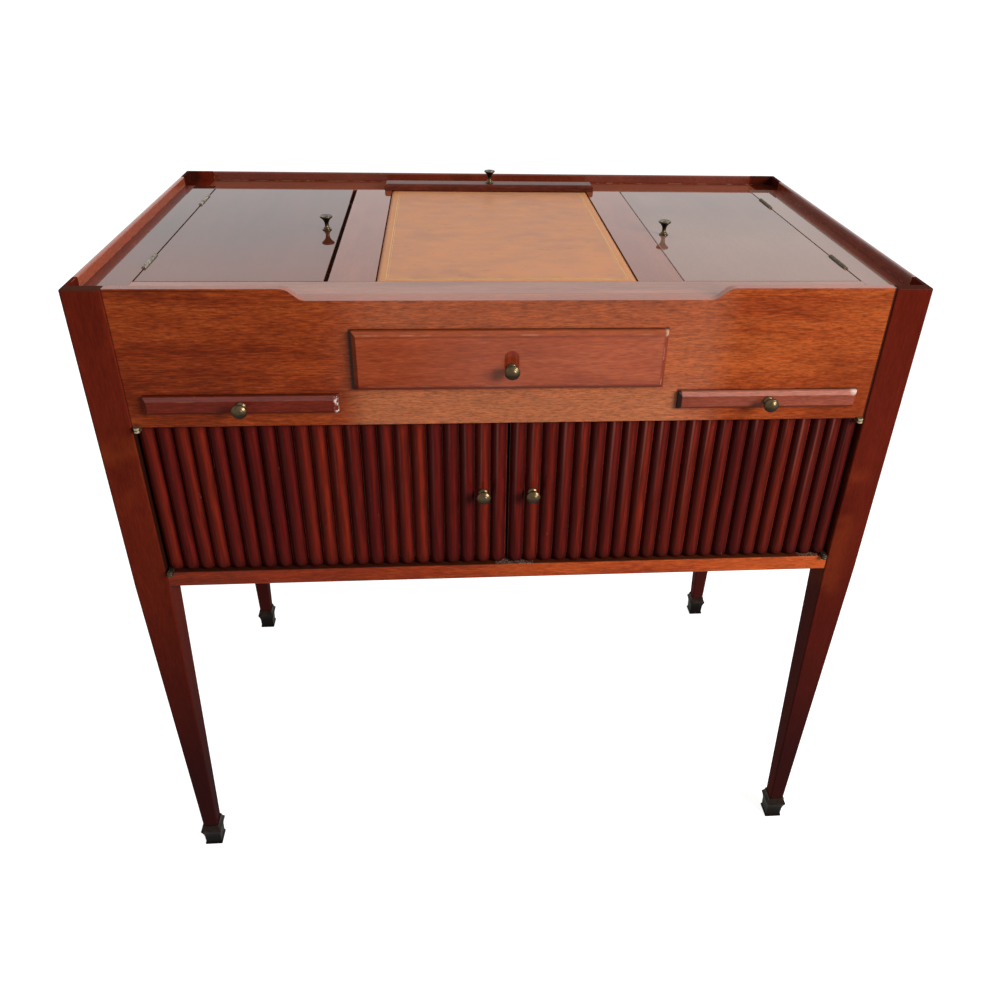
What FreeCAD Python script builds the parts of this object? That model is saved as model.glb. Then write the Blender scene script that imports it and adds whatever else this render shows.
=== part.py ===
import FreeCAD, Part
import os

# Dressing table: a case on four tapered legs, with a framed top that holds two lids and a leather writing
# panel, a mirror that rises behind the leather, a drawer, two candle slides and a cupboard with reeded doors.
# Millimetres, +Z up, +X to the right, -Y to the front. The origin is on the floor, under the table's middle.

Vec = FreeCAD.Vector

# Case
case_width = 800.0
case_depth = 472.0
leg_clear_height = 439.0
rail_height = 18.5
door_opening_height = 174.0
apron_height = 126.5
rim_height = 11.0
rim_thickness = 5.0
rim_round = 1.6
panel_setback = 1.0
apron_thickness = 18.0
side_thickness = 16.0
back_thickness = 12.0
rail_depth = 20.0
bottom_thickness = 14.0
dust_thickness = 12.0
well_floor_thickness = 8.0
divider_thickness = 10.0
edge_round = 1.2

# Raised lips at both ends of the apron
lip_length = 153.0
lip_fall = 25.0
lip_thickness = 9.5

# Legs and their bronze sabots
leg_size = 36.0
leg_foot_size = 17.0
leg_foot_inset = 6.0
leg_round = 2.0
sabot_floor = 3.0
sabot_bead_height = 3.2
sabot_waist_height = 14.5
sabot_arris_height = 27.0
sabot_height = 36.0
sabot_bead = 2.4
sabot_waist = 1.4
sabot_arris = 4.0
sabot_collar = 0.9
sabot_bead_step = 0.8

# Framed top
top_thickness = 16.0
hinge_margin = 46.0
lid_front_margin = 54.0
lid_back_margin = 51.5
leather_width = 256.0
middle_stile_width = 45.0
leather_thickness = 1.5
leather_recess = 0.5
leather_side_gap = 1.0
ledge_reach = 13.0
ledge_thickness = 10.0

# Lids and their butt hinges
lid_free_gap = {"left": 4.5, "right": 0.9}
lid_end_gap = 0.8
lid_hinge_gap = 1.0
lid_seat_gap = 0.2
lid_ease = 0.6
lid_knob_margin = 14.5
lid_knob_shift = {"left": -5.0, "right": -20.0}
lid_hinge_inset = 40.0
butt_length = 42.0
butt_leaf_height = 11.0
butt_leaf_thickness = 1.3
butt_radius = 2.2
butt_pin_radius = 1.0
butt_leaf_gap = 0.1
butt_end_gap = 0.2
butt_seat_gap = 0.3

# Drawer
drawer_opening_width = 290.0
drawer_opening_height = 51.0
drawer_rise = 43.5
drawer_overlap = 4.0
drawer_lip = 8.0
drawer_bevel = 4.0
drawer_front_thickness = 14.0
drawer_side_thickness = 9.0
drawer_bottom_thickness = 5.0
drawer_bottom_rise = 6.0
drawer_groove = 4.0
drawer_back_gap = 6.0
drawer_knob_drop = 6.5
tail_count = 3
tail_length = 9.0
tail_width = 8.0
tail_splay = 1.5
tail_fit = 0.02
patch_width = 14.0
patch_height = 17.0
patch_depth = 3.0
patch_rise = 9.0
runner_width = 18.0
runner_thickness = 10.0

# Candle slides
slide_rise = 17.0
slide_thickness = 15.0
slide_overlap = 1.5
slide_end_overlap = 4.0
slide_leg_gap = 16.0
slide_drawer_gap = 17.0
slide_front_proud = 7.0
slide_front_bevel = 3.5
slide_back_gap = 15.0

# Doors
door_side_gap = 1.2
door_meeting_gap = 2.4
door_end_gap = 1.0
door_board_thickness = 12.0
door_recess = 3.5
reed_count = 22
reed_height = 7.5
reed_gap = 1.2
door_knob_height = 91.0
door_stop_height = 14.0
door_stop_depth = 12.0
door_stop_gap = 0.3

# Pivot hinges at the outer corners of the doors
pivot_side = 4.7
pivot_proud = 2.0
pivot_radius = 2.9
pivot_pin_radius = 1.5
pivot_collar_radius = 2.2
pivot_seat_gap = 0.2
pivot_leaf_thickness = 2.0
pivot_leaf_width = 2.9
pivot_leaf_end = 2.0

# Rising mirror
cap_depth = 25.0
cap_height = 8.0
cap_overhang = 9.0
cap_round = 3.5
cap_to_back = 30.0
mirror_thickness = 13.0
mirror_side_gap = 0.8
mirror_height = 285.0
mirror_stile_width = 20.0
mirror_rail_width = 24.0
mirror_glass_thickness = 3.0
mirror_rebate = 6.0
mirror_glass_setback = 3.0
mirror_board_thickness = 5.0
guide_width = 28.0
guide_groove = 8.0
guide_gap = 0.3
guide_wall = 6.0
partition_thickness = 8.0
writing_overhang = 2.0

# Turned brass knobs
knob_spigot_radius = 2.0
knob_spigot_length = 9.0
front_knob_radius = 7.4
front_knob_length = 15.0
front_knob_brim = 10.0
front_knob_collar_radius = 5.0
front_knob_collar = 2.0
front_knob_waist_radius = 3.0
front_knob_waist = 5.0
top_knob_radius = 7.0
top_knob_length = 16.0
top_knob_disc = 2.0
top_knob_foot_radius = 5.2
top_knob_foot = 2.0
top_knob_waist_radius = 2.5
top_knob_waist = 6.0
top_knob_flare_radius = 3.8
top_knob_flare = 11.0

# Fits
slide_clearance = 0.2
drawer_side_gap = 0.5
drawer_top_gap = 0.8
pin_clearance = 0.05

# Heights
rail_top = leg_clear_height + rail_height
apron_bottom = rail_top + door_opening_height
table_top = apron_bottom + apron_height
rim_top = table_top + rim_height
top_under = table_top - top_thickness
slot_bottom = apron_bottom + slide_rise
slot_top = slot_bottom + slide_thickness + 2 * slide_clearance
dust_under = slot_bottom - dust_thickness
well_floor_top = slot_top + well_floor_thickness
drawer_bottom_z = apron_bottom + drawer_rise
drawer_top_z = drawer_bottom_z + drawer_opening_height
door_leaf_heights = (apron_bottom - door_end_gap - pivot_leaf_thickness, rail_top + door_end_gap)

# Widths, measured from the middle
half_width = case_width / 2
leg_inner = half_width - leg_size
side_outer = half_width - panel_setback
side_inner = side_outer - side_thickness
rim_inner = half_width - rim_thickness
hinge_x = half_width - hinge_margin
leather_half = leather_width / 2
lid_opening = leather_half + middle_stile_width
drawer_half = drawer_opening_width / 2
divider_inner = drawer_half + drawer_side_gap
divider_outer = divider_inner + divider_thickness
slide_front_inner = drawer_half + drawer_overlap + slide_drawer_gap
slide_front_outer = leg_inner - slide_leg_gap
slot_inner = slide_front_inner + slide_end_overlap
slot_outer = slide_front_outer - slide_end_overlap
mirror_half = leather_half - mirror_side_gap

# Depths: the knob of the drawer is the foremost point, and the back legs are the rearmost
front_reach = drawer_lip + front_knob_length - panel_setback
front = (front_reach - case_depth) / 2
back = front + case_depth
apron_face = front + panel_setback
apron_back = apron_face + apron_thickness
back_face = back - panel_setback
back_inner = back_face - back_thickness
leg_front_end = front + leg_size
leg_back_end = back - leg_size
lid_front = front + lid_front_margin
lid_back = back - lid_back_margin
cap_back = back - cap_to_back
cap_front = cap_back - cap_depth
mirror_middle = cap_front + cap_depth / 2
mirror_front = mirror_middle - mirror_thickness / 2
mirror_back = mirror_middle + mirror_thickness / 2
partition_back = mirror_front - guide_wall
partition_front = partition_back - partition_thickness
writing_back = partition_back + writing_overhang
reed_front = front + door_recess
door_face = reed_front + reed_height
door_back = door_face + door_board_thickness
rail_back = apron_face + rail_depth


def block(x0, x1, y0, y1, z0, z1):
    """Return a rectangular board between two corners."""
    return Part.makeBox(x1 - x0, y1 - y0, z1 - z0, Vec(x0, y0, z0))


def mirrored(shape):
    """Return the shape's twin on the other side of the middle plane."""
    return shape.mirror(Vec(0, 0, 0), Vec(1, 0, 0))


def both_sides(shape):
    """Return a group of the right-hand shape and its left-hand twin."""
    return Part.makeCompound([shape, mirrored(shape)])


def on_side(side, shape):
    """Return a right-hand shape on the named side."""
    return shape if side == "right" else mirrored(shape)


def edges_at(shape, test):
    """Return the edges whose two ends both pass the test."""
    return [edge for edge in shape.Edges if all(test(vertex.Point) for vertex in edge.Vertexes)]


def edges_along(shape, direction, test):
    """Return the edges that run along a direction and whose ends both pass the test."""
    found = edges_at(shape, test)
    return [edge for edge in found if near(edge.tangentAt(edge.FirstParameter).cross(direction).Length, 0)]


def near(a, b):
    """Say whether two lengths are the same place."""
    return abs(a - b) < 0.001


def square_section(x0, x1, y0, y1, z):
    """Return a level rectangle with sharp corners, as a closed wire."""
    corners = [Vec(x0, y0, z), Vec(x1, y0, z), Vec(x1, y1, z), Vec(x0, y1, z)]
    return Part.Wire(polyline(corners + corners[:1]))


def rounded_section(x0, x1, y0, y1, z, radius):
    """Return a level rectangle with rounded corners, as a closed wire."""
    diagonal = radius * (1 - 0.5 ** 0.5)
    points = [
        Vec(x0 + radius, y0, z), Vec(x1 - radius, y0, z), Vec(x1 - diagonal, y0 + diagonal, z),
        Vec(x1, y0 + radius, z), Vec(x1, y1 - radius, z), Vec(x1 - diagonal, y1 - diagonal, z),
        Vec(x1 - radius, y1, z), Vec(x0 + radius, y1, z), Vec(x0 + diagonal, y1 - diagonal, z),
        Vec(x0, y1 - radius, z), Vec(x0, y0 + radius, z), Vec(x0 + diagonal, y0 + diagonal, z),
    ]
    edges = []
    for corner in range(4):
        start, end, middle, after = (points[(3 * corner + step) % 12] for step in range(4))
        edges.append(Part.LineSegment(start, end).toShape())
        edges.append(Part.Arc(end, middle, after).toShape())
    return Part.Wire(edges)


def outline_solid(edges, direction):
    """Return the solid swept by a closed flat outline along a straight direction."""
    return Part.Face(Part.Wire(edges)).extrude(direction)


def polyline(points):
    """Return the straight edges through a row of points."""
    return [Part.LineSegment(a, b).toShape() for a, b in zip(points, points[1:])]


def front_leg_section(z):
    """Return the sides (x0, x1, y0, y1) of the front right leg at a height under the rail."""
    share = (leg_clear_height - z) / leg_clear_height
    outer = leg_foot_inset * share
    size = leg_size + (leg_foot_size - leg_size) * share
    return half_width - outer - size, half_width - outer, front + outer, front + outer + size


def at_corner(shape, side, end):
    """Return a front right piece at another corner of the table."""
    if end == "back":
        shape = shape.mirror(Vec(0, (front + back) / 2, 0), Vec(0, 1, 0))
    return on_side(side, shape)


def front_right_leg(lip):
    """Square post up to the rim, tapered below the rail, hollowed behind a front lip at its top."""
    foot = rounded_section(*front_leg_section(sabot_floor), sabot_floor, leg_round)
    shoulder = rounded_section(leg_inner, half_width, front, leg_front_end, leg_clear_height, leg_round)
    head = rounded_section(leg_inner, half_width, front, leg_front_end, rim_top, leg_round)
    leg = Part.makeLoft([foot, shoulder, head], True, True)
    leg = leg.makeFillet(rim_round, edges_at(leg, lambda p: near(p.z, rim_top)))
    return leg.cut(block(leg_inner - 1, rim_inner, front + lip, leg_front_end + 1, table_top, rim_top + 1))


def front_right_sabot(leg):
    """Bronze shoe: a flared block with a sharp arris, hollowed for the foot of the leg."""
    levels = [
        (0.0, sabot_bead), (sabot_bead_height, sabot_bead),
        (sabot_bead_height + sabot_bead_step, sabot_waist),
        (sabot_waist_height, sabot_waist), (sabot_arris_height, sabot_arris), (sabot_height, sabot_collar),
    ]
    sections = []
    for z, overhang in levels:
        x0, x1, y0, y1 = front_leg_section(z)
        sections.append(square_section(x0 - overhang, x1 + overhang, y0 - overhang, y1 + overhang, z))
    return Part.makeLoft(sections, True, True).cut(leg)


def apron():
    """Front board with a lip at each end of its top and openings for the drawer and the slides."""
    lip_foot = leg_inner - lip_length - lip_fall
    lip_head = leg_inner - lip_length
    bend = lip_fall / 2
    board = block(-leg_inner, leg_inner, apron_face, apron_back, apron_bottom, table_top)
    board = board.makeFillet(edge_round, edges_at(
        board, lambda p: near(p.y, apron_face) and near(p.z, apron_bottom)))
    fall = Part.BezierCurve()
    fall.setPoles([
        Vec(lip_foot, apron_face, table_top), Vec(lip_foot + bend, apron_face, table_top),
        Vec(lip_head - bend, apron_face, rim_top), Vec(lip_head, apron_face, rim_top),
    ])
    straight = polyline([
        Vec(lip_head, apron_face, rim_top), Vec(leg_inner, apron_face, rim_top),
        Vec(leg_inner, apron_face, table_top), Vec(lip_foot, apron_face, table_top),
    ])
    lip = outline_solid([fall.toShape()] + straight, Vec(0, lip_thickness, 0))
    board = board.fuse([lip, mirrored(lip)]).removeSplitter()
    hole_front = apron_face - 1
    hole_back = apron_back + 1
    drawer_hole = block(-drawer_half, drawer_half, hole_front, hole_back, drawer_bottom_z, drawer_top_z)
    slot = block(slot_inner, slot_outer, hole_front, hole_back, slot_bottom, slot_top)
    return board.cut([drawer_hole, slot, mirrored(slot)])


def front_rail():
    """Slim rail under the doors, with eased front edges."""
    rail = block(-leg_inner, leg_inner, apron_face, rail_back, leg_clear_height, rail_top)
    return rail.makeFillet(edge_round, edges_along(rail, Vec(1, 0, 0), lambda p: near(p.y, apron_face)))


def gallery_strip(x0, x1, y0, y1, along):
    """Rim strip with its two upper edges along its length rounded."""
    strip = block(x0, x1, y0, y1, table_top, rim_top)
    return strip.makeFillet(rim_round, edges_along(strip, along, lambda p: near(p.z, rim_top)))


def turned(outline):
    """Return the solid turned from a half outline of straight tapers, given as (radius, height) points."""
    edges = polyline([Vec(radius, 0, height) for radius, height in outline + outline[:1]])
    return Part.Face(Part.Wire(edges)).revolve(Vec(0, 0, 0), Vec(0, 0, 1), 360)


def front_knob():
    """Button knob: a collar, a waisted stem and a domed head, standing on Z with its spigot below."""
    crown = front_knob_length - front_knob_brim
    ball_radius = (front_knob_radius ** 2 + crown ** 2) / (2 * crown)
    stem = turned([
        (0, -knob_spigot_length), (knob_spigot_radius, -knob_spigot_length), (knob_spigot_radius, 0),
        (front_knob_collar_radius, 0), (front_knob_collar_radius, front_knob_collar),
        (front_knob_waist_radius, front_knob_waist), (front_knob_radius, front_knob_brim),
        (0, front_knob_brim),
    ])
    ball = Part.makeSphere(ball_radius, Vec(0, 0, front_knob_length - ball_radius))
    below = Part.makeCylinder(ball_radius, 2 * ball_radius, Vec(0, 0, front_knob_brim), Vec(0, 0, -1))
    dome = ball.cut(below)
    return stem.fuse(dome).removeSplitter()


def top_knob():
    """Trumpet knob: a stepped foot, a waisted stem and a flat disc, standing on Z with its spigot below."""
    disc = top_knob_length - top_knob_disc
    return turned([
        (0, -knob_spigot_length), (knob_spigot_radius, -knob_spigot_length), (knob_spigot_radius, 0),
        (top_knob_foot_radius, 0), (top_knob_foot_radius, top_knob_foot / 2),
        (top_knob_flare_radius, top_knob_foot), (top_knob_waist_radius, top_knob_waist),
        (top_knob_flare_radius, top_knob_flare), (top_knob_radius, disc), (top_knob_radius, top_knob_length),
        (0, top_knob_length),
    ])


def facing_front(knob, x, y, z):
    """Return a knob that stands on a front, with its foot at the place given."""
    return knob.rotated(Vec(0, 0, 0), Vec(1, 0, 0), 90).translated(Vec(x, y, z))


def bevelled_front(x0, x1, y_face, y_back, z0, z1, bevel):
    """Overlaid front with a bevel round its face."""
    board = block(x0, x1, y_face, y_back, z0, z1)
    return board.makeChamfer(bevel, edges_at(board, lambda p: near(p.y, y_face)))


def pivot_leaf(z0):
    """Flat leaf of a right-hand corner pivot with its round eye, from z0 up."""
    x = leg_inner - pivot_side
    y = front - pivot_proud
    eye = Part.makeCylinder(pivot_radius, pivot_leaf_thickness, Vec(x, y, z0))
    neck = block(x - pivot_leaf_width, x + pivot_leaf_end, y, door_face, z0, z0 + pivot_leaf_thickness)
    return eye.fuse(neck).removeSplitter()


def right_door_pivots():
    """Leaves fixed to the apron and the rail, each with the pin and collar that the door turns on."""
    x = leg_inner - pivot_side
    y = front - pivot_proud
    pin_length = door_end_gap + pivot_leaf_thickness
    collar_length = door_end_gap - pivot_seat_gap
    pivots = []
    seats = ((apron_bottom, apron_bottom, -1), (rail_top - pivot_leaf_thickness, rail_top, 1))
    for leaf_z, seat_z, up in seats:
        pin = Part.makeCylinder(pivot_pin_radius, pin_length, Vec(x, y, seat_z), Vec(0, 0, up))
        collar = Part.makeCylinder(pivot_collar_radius, collar_length, Vec(x, y, seat_z), Vec(0, 0, up))
        pivots.append(pivot_leaf(leaf_z).fuse([pin, collar]).removeSplitter())
    return Part.makeCompound(pivots)


def right_door_leaves():
    """Leaves let into the top and the bottom of the door, each with the eye for its pin."""
    x = leg_inner - pivot_side
    y = front - pivot_proud
    leaves = []
    for leaf_z in door_leaf_heights:
        hole = Part.makeCylinder(pivot_pin_radius + pin_clearance, pivot_leaf_thickness, Vec(x, y, leaf_z))
        leaves.append(pivot_leaf(leaf_z).cut(hole))
    return Part.makeCompound(leaves)


def right_door():
    """Board and reeds of the right door, before its hinges and knob are let in."""
    x0 = door_meeting_gap / 2
    x1 = leg_inner - door_side_gap
    z0 = rail_top + door_end_gap
    z1 = apron_bottom - door_end_gap
    pitch = (x1 - x0) / reed_count
    board = block(x0, x1, door_face, door_back, z0, z1)
    reeds = []
    for number in range(reed_count):
        a = Vec(x0 + number * pitch + reed_gap / 2, door_face, z0)
        b = Vec(x0 + (number + 1) * pitch - reed_gap / 2, door_face, z0)
        crest = Vec((a.x + b.x) / 2, reed_front, z0)
        edges = [Part.Arc(a, crest, b).toShape(), Part.LineSegment(b, a).toShape()]
        reeds.append(outline_solid(edges, Vec(0, 0, z1 - z0)))
    knob_place = (x0 + 1.5 * pitch, reed_front, rail_top + door_knob_height)
    return board, reeds, knob_place


def butt_hinge(y0):
    """Fixed and moving halves of one right-hand butt hinge, whose barrel starts at y0."""
    third = butt_length / 3
    along = Vec(0, 1, 0)

    def barrel(start, length, radius):
        return Part.makeCylinder(radius, length, Vec(hinge_x, start, table_top), along)

    def leaf(sign):
        near_face = hinge_x + sign * butt_leaf_gap
        far_face = near_face + sign * butt_leaf_thickness
        x0, x1 = sorted((near_face, far_face))
        return block(x0, x1, y0, y0 + butt_length, table_top - butt_leaf_height, table_top)

    middle = barrel(y0 + third, third, butt_radius)
    middle_room = barrel(y0 + third - butt_end_gap, third + 2 * butt_end_gap, butt_radius + butt_end_gap)
    whole = barrel(y0, butt_length, butt_radius)
    pin = barrel(y0, butt_length, butt_pin_radius)
    bore = barrel(y0, butt_length, butt_pin_radius + pin_clearance)
    ends_room = barrel(y0, butt_length, butt_radius + butt_end_gap)
    ends_room = ends_room.cut(barrel(y0 + third, third, butt_radius + 1))
    fixed = whole.fuse(leaf(1)).cut(middle_room).fuse(pin).removeSplitter()
    moving = leaf(-1).cut(ends_room).fuse(middle).cut(bore).removeSplitter()
    return fixed, moving


def lid_hinges():
    """Fixed leaves, moving leaves and the room cut for both hinges of the right lid."""
    starts = (lid_front + lid_hinge_inset, lid_back - lid_hinge_inset - butt_length)
    fixed, moving, room = [], [], []
    for y0 in starts:
        outer, inner = butt_hinge(y0)
        fixed.append(outer)
        moving.append(inner)
        room.append(Part.makeCylinder(
            butt_radius + butt_seat_gap, butt_length + 2 * butt_seat_gap,
            Vec(hinge_x, y0 - butt_seat_gap, table_top), Vec(0, 1, 0)))
    return fixed, moving, room


def lid_board(side):
    """Right-hand lid board with the free gap of the named side and eased edges, and its knob's place."""
    x0 = lid_opening + lid_free_gap[side]
    x1 = hinge_x - lid_hinge_gap / 2
    y0 = lid_front + lid_end_gap
    y1 = lid_back - lid_end_gap
    board = block(x0, x1, y0, y1, top_under + lid_seat_gap, table_top)
    board = board.makeChamfer(lid_ease, edges_at(board, lambda p: near(p.z, table_top)))
    place = Vec(x0 + lid_knob_margin, (y0 + y1) / 2 + lid_knob_shift[side], table_top)
    return board, place


def top_frame():
    """Rails and stiles of the top, fitted round the legs, the lids, the leather and the mirror."""
    stile_edge = hinge_x + lid_hinge_gap / 2
    end_stile = block(stile_edge, side_inner, leg_front_end, leg_back_end, top_under, table_top)
    middle_stile = block(leather_half, lid_opening, lid_front, lid_back, top_under, table_top)
    stiles = [end_stile, mirrored(end_stile)]
    front_board = block(-leg_inner, leg_inner, apron_back, lid_front, top_under, table_top).cut(stiles)
    back_board = block(-leg_inner, leg_inner, lid_back, back_inner, top_under, table_top).cut(stiles)
    slot_back = mirror_back + mirror_side_gap
    slot = block(-leather_half, leather_half, lid_back - 1, slot_back, top_under - 1, table_top + 1)
    return end_stile, middle_stile, front_board, back_board.cut(slot)


def mirror_frame():
    """Frame of the mirror as one ring, rebated from behind for the glass and its backboard."""
    z0 = table_top - mirror_height
    ring = block(-mirror_half, mirror_half, mirror_front, mirror_back, z0, table_top)
    sight_x = mirror_half - mirror_stile_width
    sight_z = (z0 + mirror_rail_width, table_top - mirror_rail_width)
    sight = block(-sight_x, sight_x, mirror_front - 1, mirror_back + 1, *sight_z)
    rebate = mirror_panel(mirror_front + mirror_glass_setback, mirror_thickness)
    return ring.cut([sight, rebate])


def mirror_panel(y0, thickness):
    """Sheet that fits the rebate of the mirror's frame, from y0 back."""
    x = mirror_half - mirror_stile_width + mirror_rebate
    z0 = table_top - mirror_height + mirror_rail_width - mirror_rebate
    z1 = table_top - mirror_rail_width + mirror_rebate
    return block(-x, x, y0, y0 + thickness, z0, z1)


def mirror_cap():
    """Moulded top rail that rests on the table and carries the knob, with a rounded nose."""
    half = leather_half + cap_overhang
    cap = block(-half, half, cap_front, cap_back, table_top, table_top + cap_height)
    return cap.makeFillet(cap_round, edges_at(cap, lambda p: near(p.z, table_top + cap_height)))


def mirror_guide():
    """Right-hand upright with the groove that the mirror's frame runs in."""
    inner = mirror_half - guide_groove
    post = block(inner, inner + guide_width, partition_back, back_inner, rail_top, top_under)
    groove = block(inner - 1, mirror_half + guide_gap, mirror_front - guide_gap, mirror_back + guide_gap,
                   rail_top - 1, top_under + 1)
    return post.cut(groove)


def dovetails(x0, x1, y_joint, z0, z1, growth):
    """Tails that reach forward from a drawer side into its front, each wider at its tip."""
    pitch = (z1 - z0) / tail_count
    tails = []
    for number in range(tail_count):
        z = z0 + (number + 0.5) * pitch
        root = tail_width / 2 + growth
        tip = root + tail_splay
        y_tip = y_joint - tail_length - growth
        corners = [
            Vec(x0, y_joint, z - root), Vec(x0, y_tip, z - tip), Vec(x0, y_tip, z + tip),
            Vec(x0, y_joint, z + root),
        ]
        tails.append(outline_solid(polyline(corners + corners[:1]), Vec(x1 - x0, 0, 0)))
    return tails


def lock_patch(y0, z0):
    """Patch over the old keyhole, with an arched top, from y0 back and z0 up."""
    half = patch_width / 2
    spring = z0 + patch_height - half
    foot = [Vec(-half, y0, spring), Vec(-half, y0, z0), Vec(half, y0, z0), Vec(half, y0, spring)]
    arch = Part.Arc(foot[3], Vec(0, y0, spring + half), foot[0]).toShape()
    return outline_solid(polyline(foot) + [arch], Vec(0, patch_depth, 0))


def drawer_pieces():
    """Front, right side, back, bottom and keyhole patch of the drawer, and the place of its knob."""
    box_half = drawer_half - drawer_side_gap
    inner = box_half - drawer_side_thickness
    z0 = drawer_bottom_z + slide_clearance
    z1 = drawer_top_z - drawer_top_gap
    face = apron_face - drawer_lip
    lip_back = apron_face - slide_clearance
    y_side = apron_face + drawer_front_thickness
    y_back = partition_front - drawer_back_gap
    lip_half = drawer_half + drawer_overlap
    lip_low = drawer_bottom_z - drawer_overlap
    lip_high = drawer_top_z + drawer_overlap
    lip = bevelled_front(-lip_half, lip_half, face, lip_back, lip_low, lip_high, drawer_bevel)
    tongue = block(-box_half, box_half, lip_back, y_side, z0, z1)
    side = block(inner, box_half, y_side, y_back, z0, z1)
    side = side.fuse(dovetails(inner, box_half, y_side, z0, z1, 0)).removeSplitter()
    sockets = dovetails(inner, box_half, y_side, z0, z1, tail_fit)
    floor_z = z0 + drawer_bottom_rise
    floor_top = floor_z + drawer_bottom_thickness
    tail = block(-inner, inner, y_back - drawer_side_thickness, y_back, floor_top, z1)
    floor_half = inner + drawer_groove
    floor = block(-floor_half, floor_half, y_side - drawer_groove, y_back, floor_z, floor_top)
    knob_z = (drawer_bottom_z + drawer_top_z) / 2 - drawer_knob_drop
    patch_z = knob_z + patch_rise
    patch = lock_patch(face, patch_z - patch_height / 2)
    board = lip.fuse(tongue).removeSplitter()
    board = board.cut([floor, patch] + sockets + [mirrored(socket) for socket in sockets])
    return board, side.cut(floor), tail, floor, patch, (0, face, knob_z)


def slide_pieces():
    """Board and front of the right candle slide, and the place of its knob."""
    z0 = slot_bottom + slide_clearance
    z1 = z0 + slide_thickness
    face = apron_face - slide_front_proud
    lip_back = apron_face - slide_clearance
    y_back = partition_front - slide_back_gap
    board = block(slot_inner + slide_clearance, slot_outer - slide_clearance, lip_back, y_back, z0, z1)
    lip = bevelled_front(slide_front_inner, slide_front_outer, face, lip_back,
                         z0 - slide_overlap, z1 + slide_overlap, slide_front_bevel)
    place = ((slide_front_inner + slide_front_outer) / 2, face, (z0 + z1) / 2)
    return board, lip, place


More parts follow.
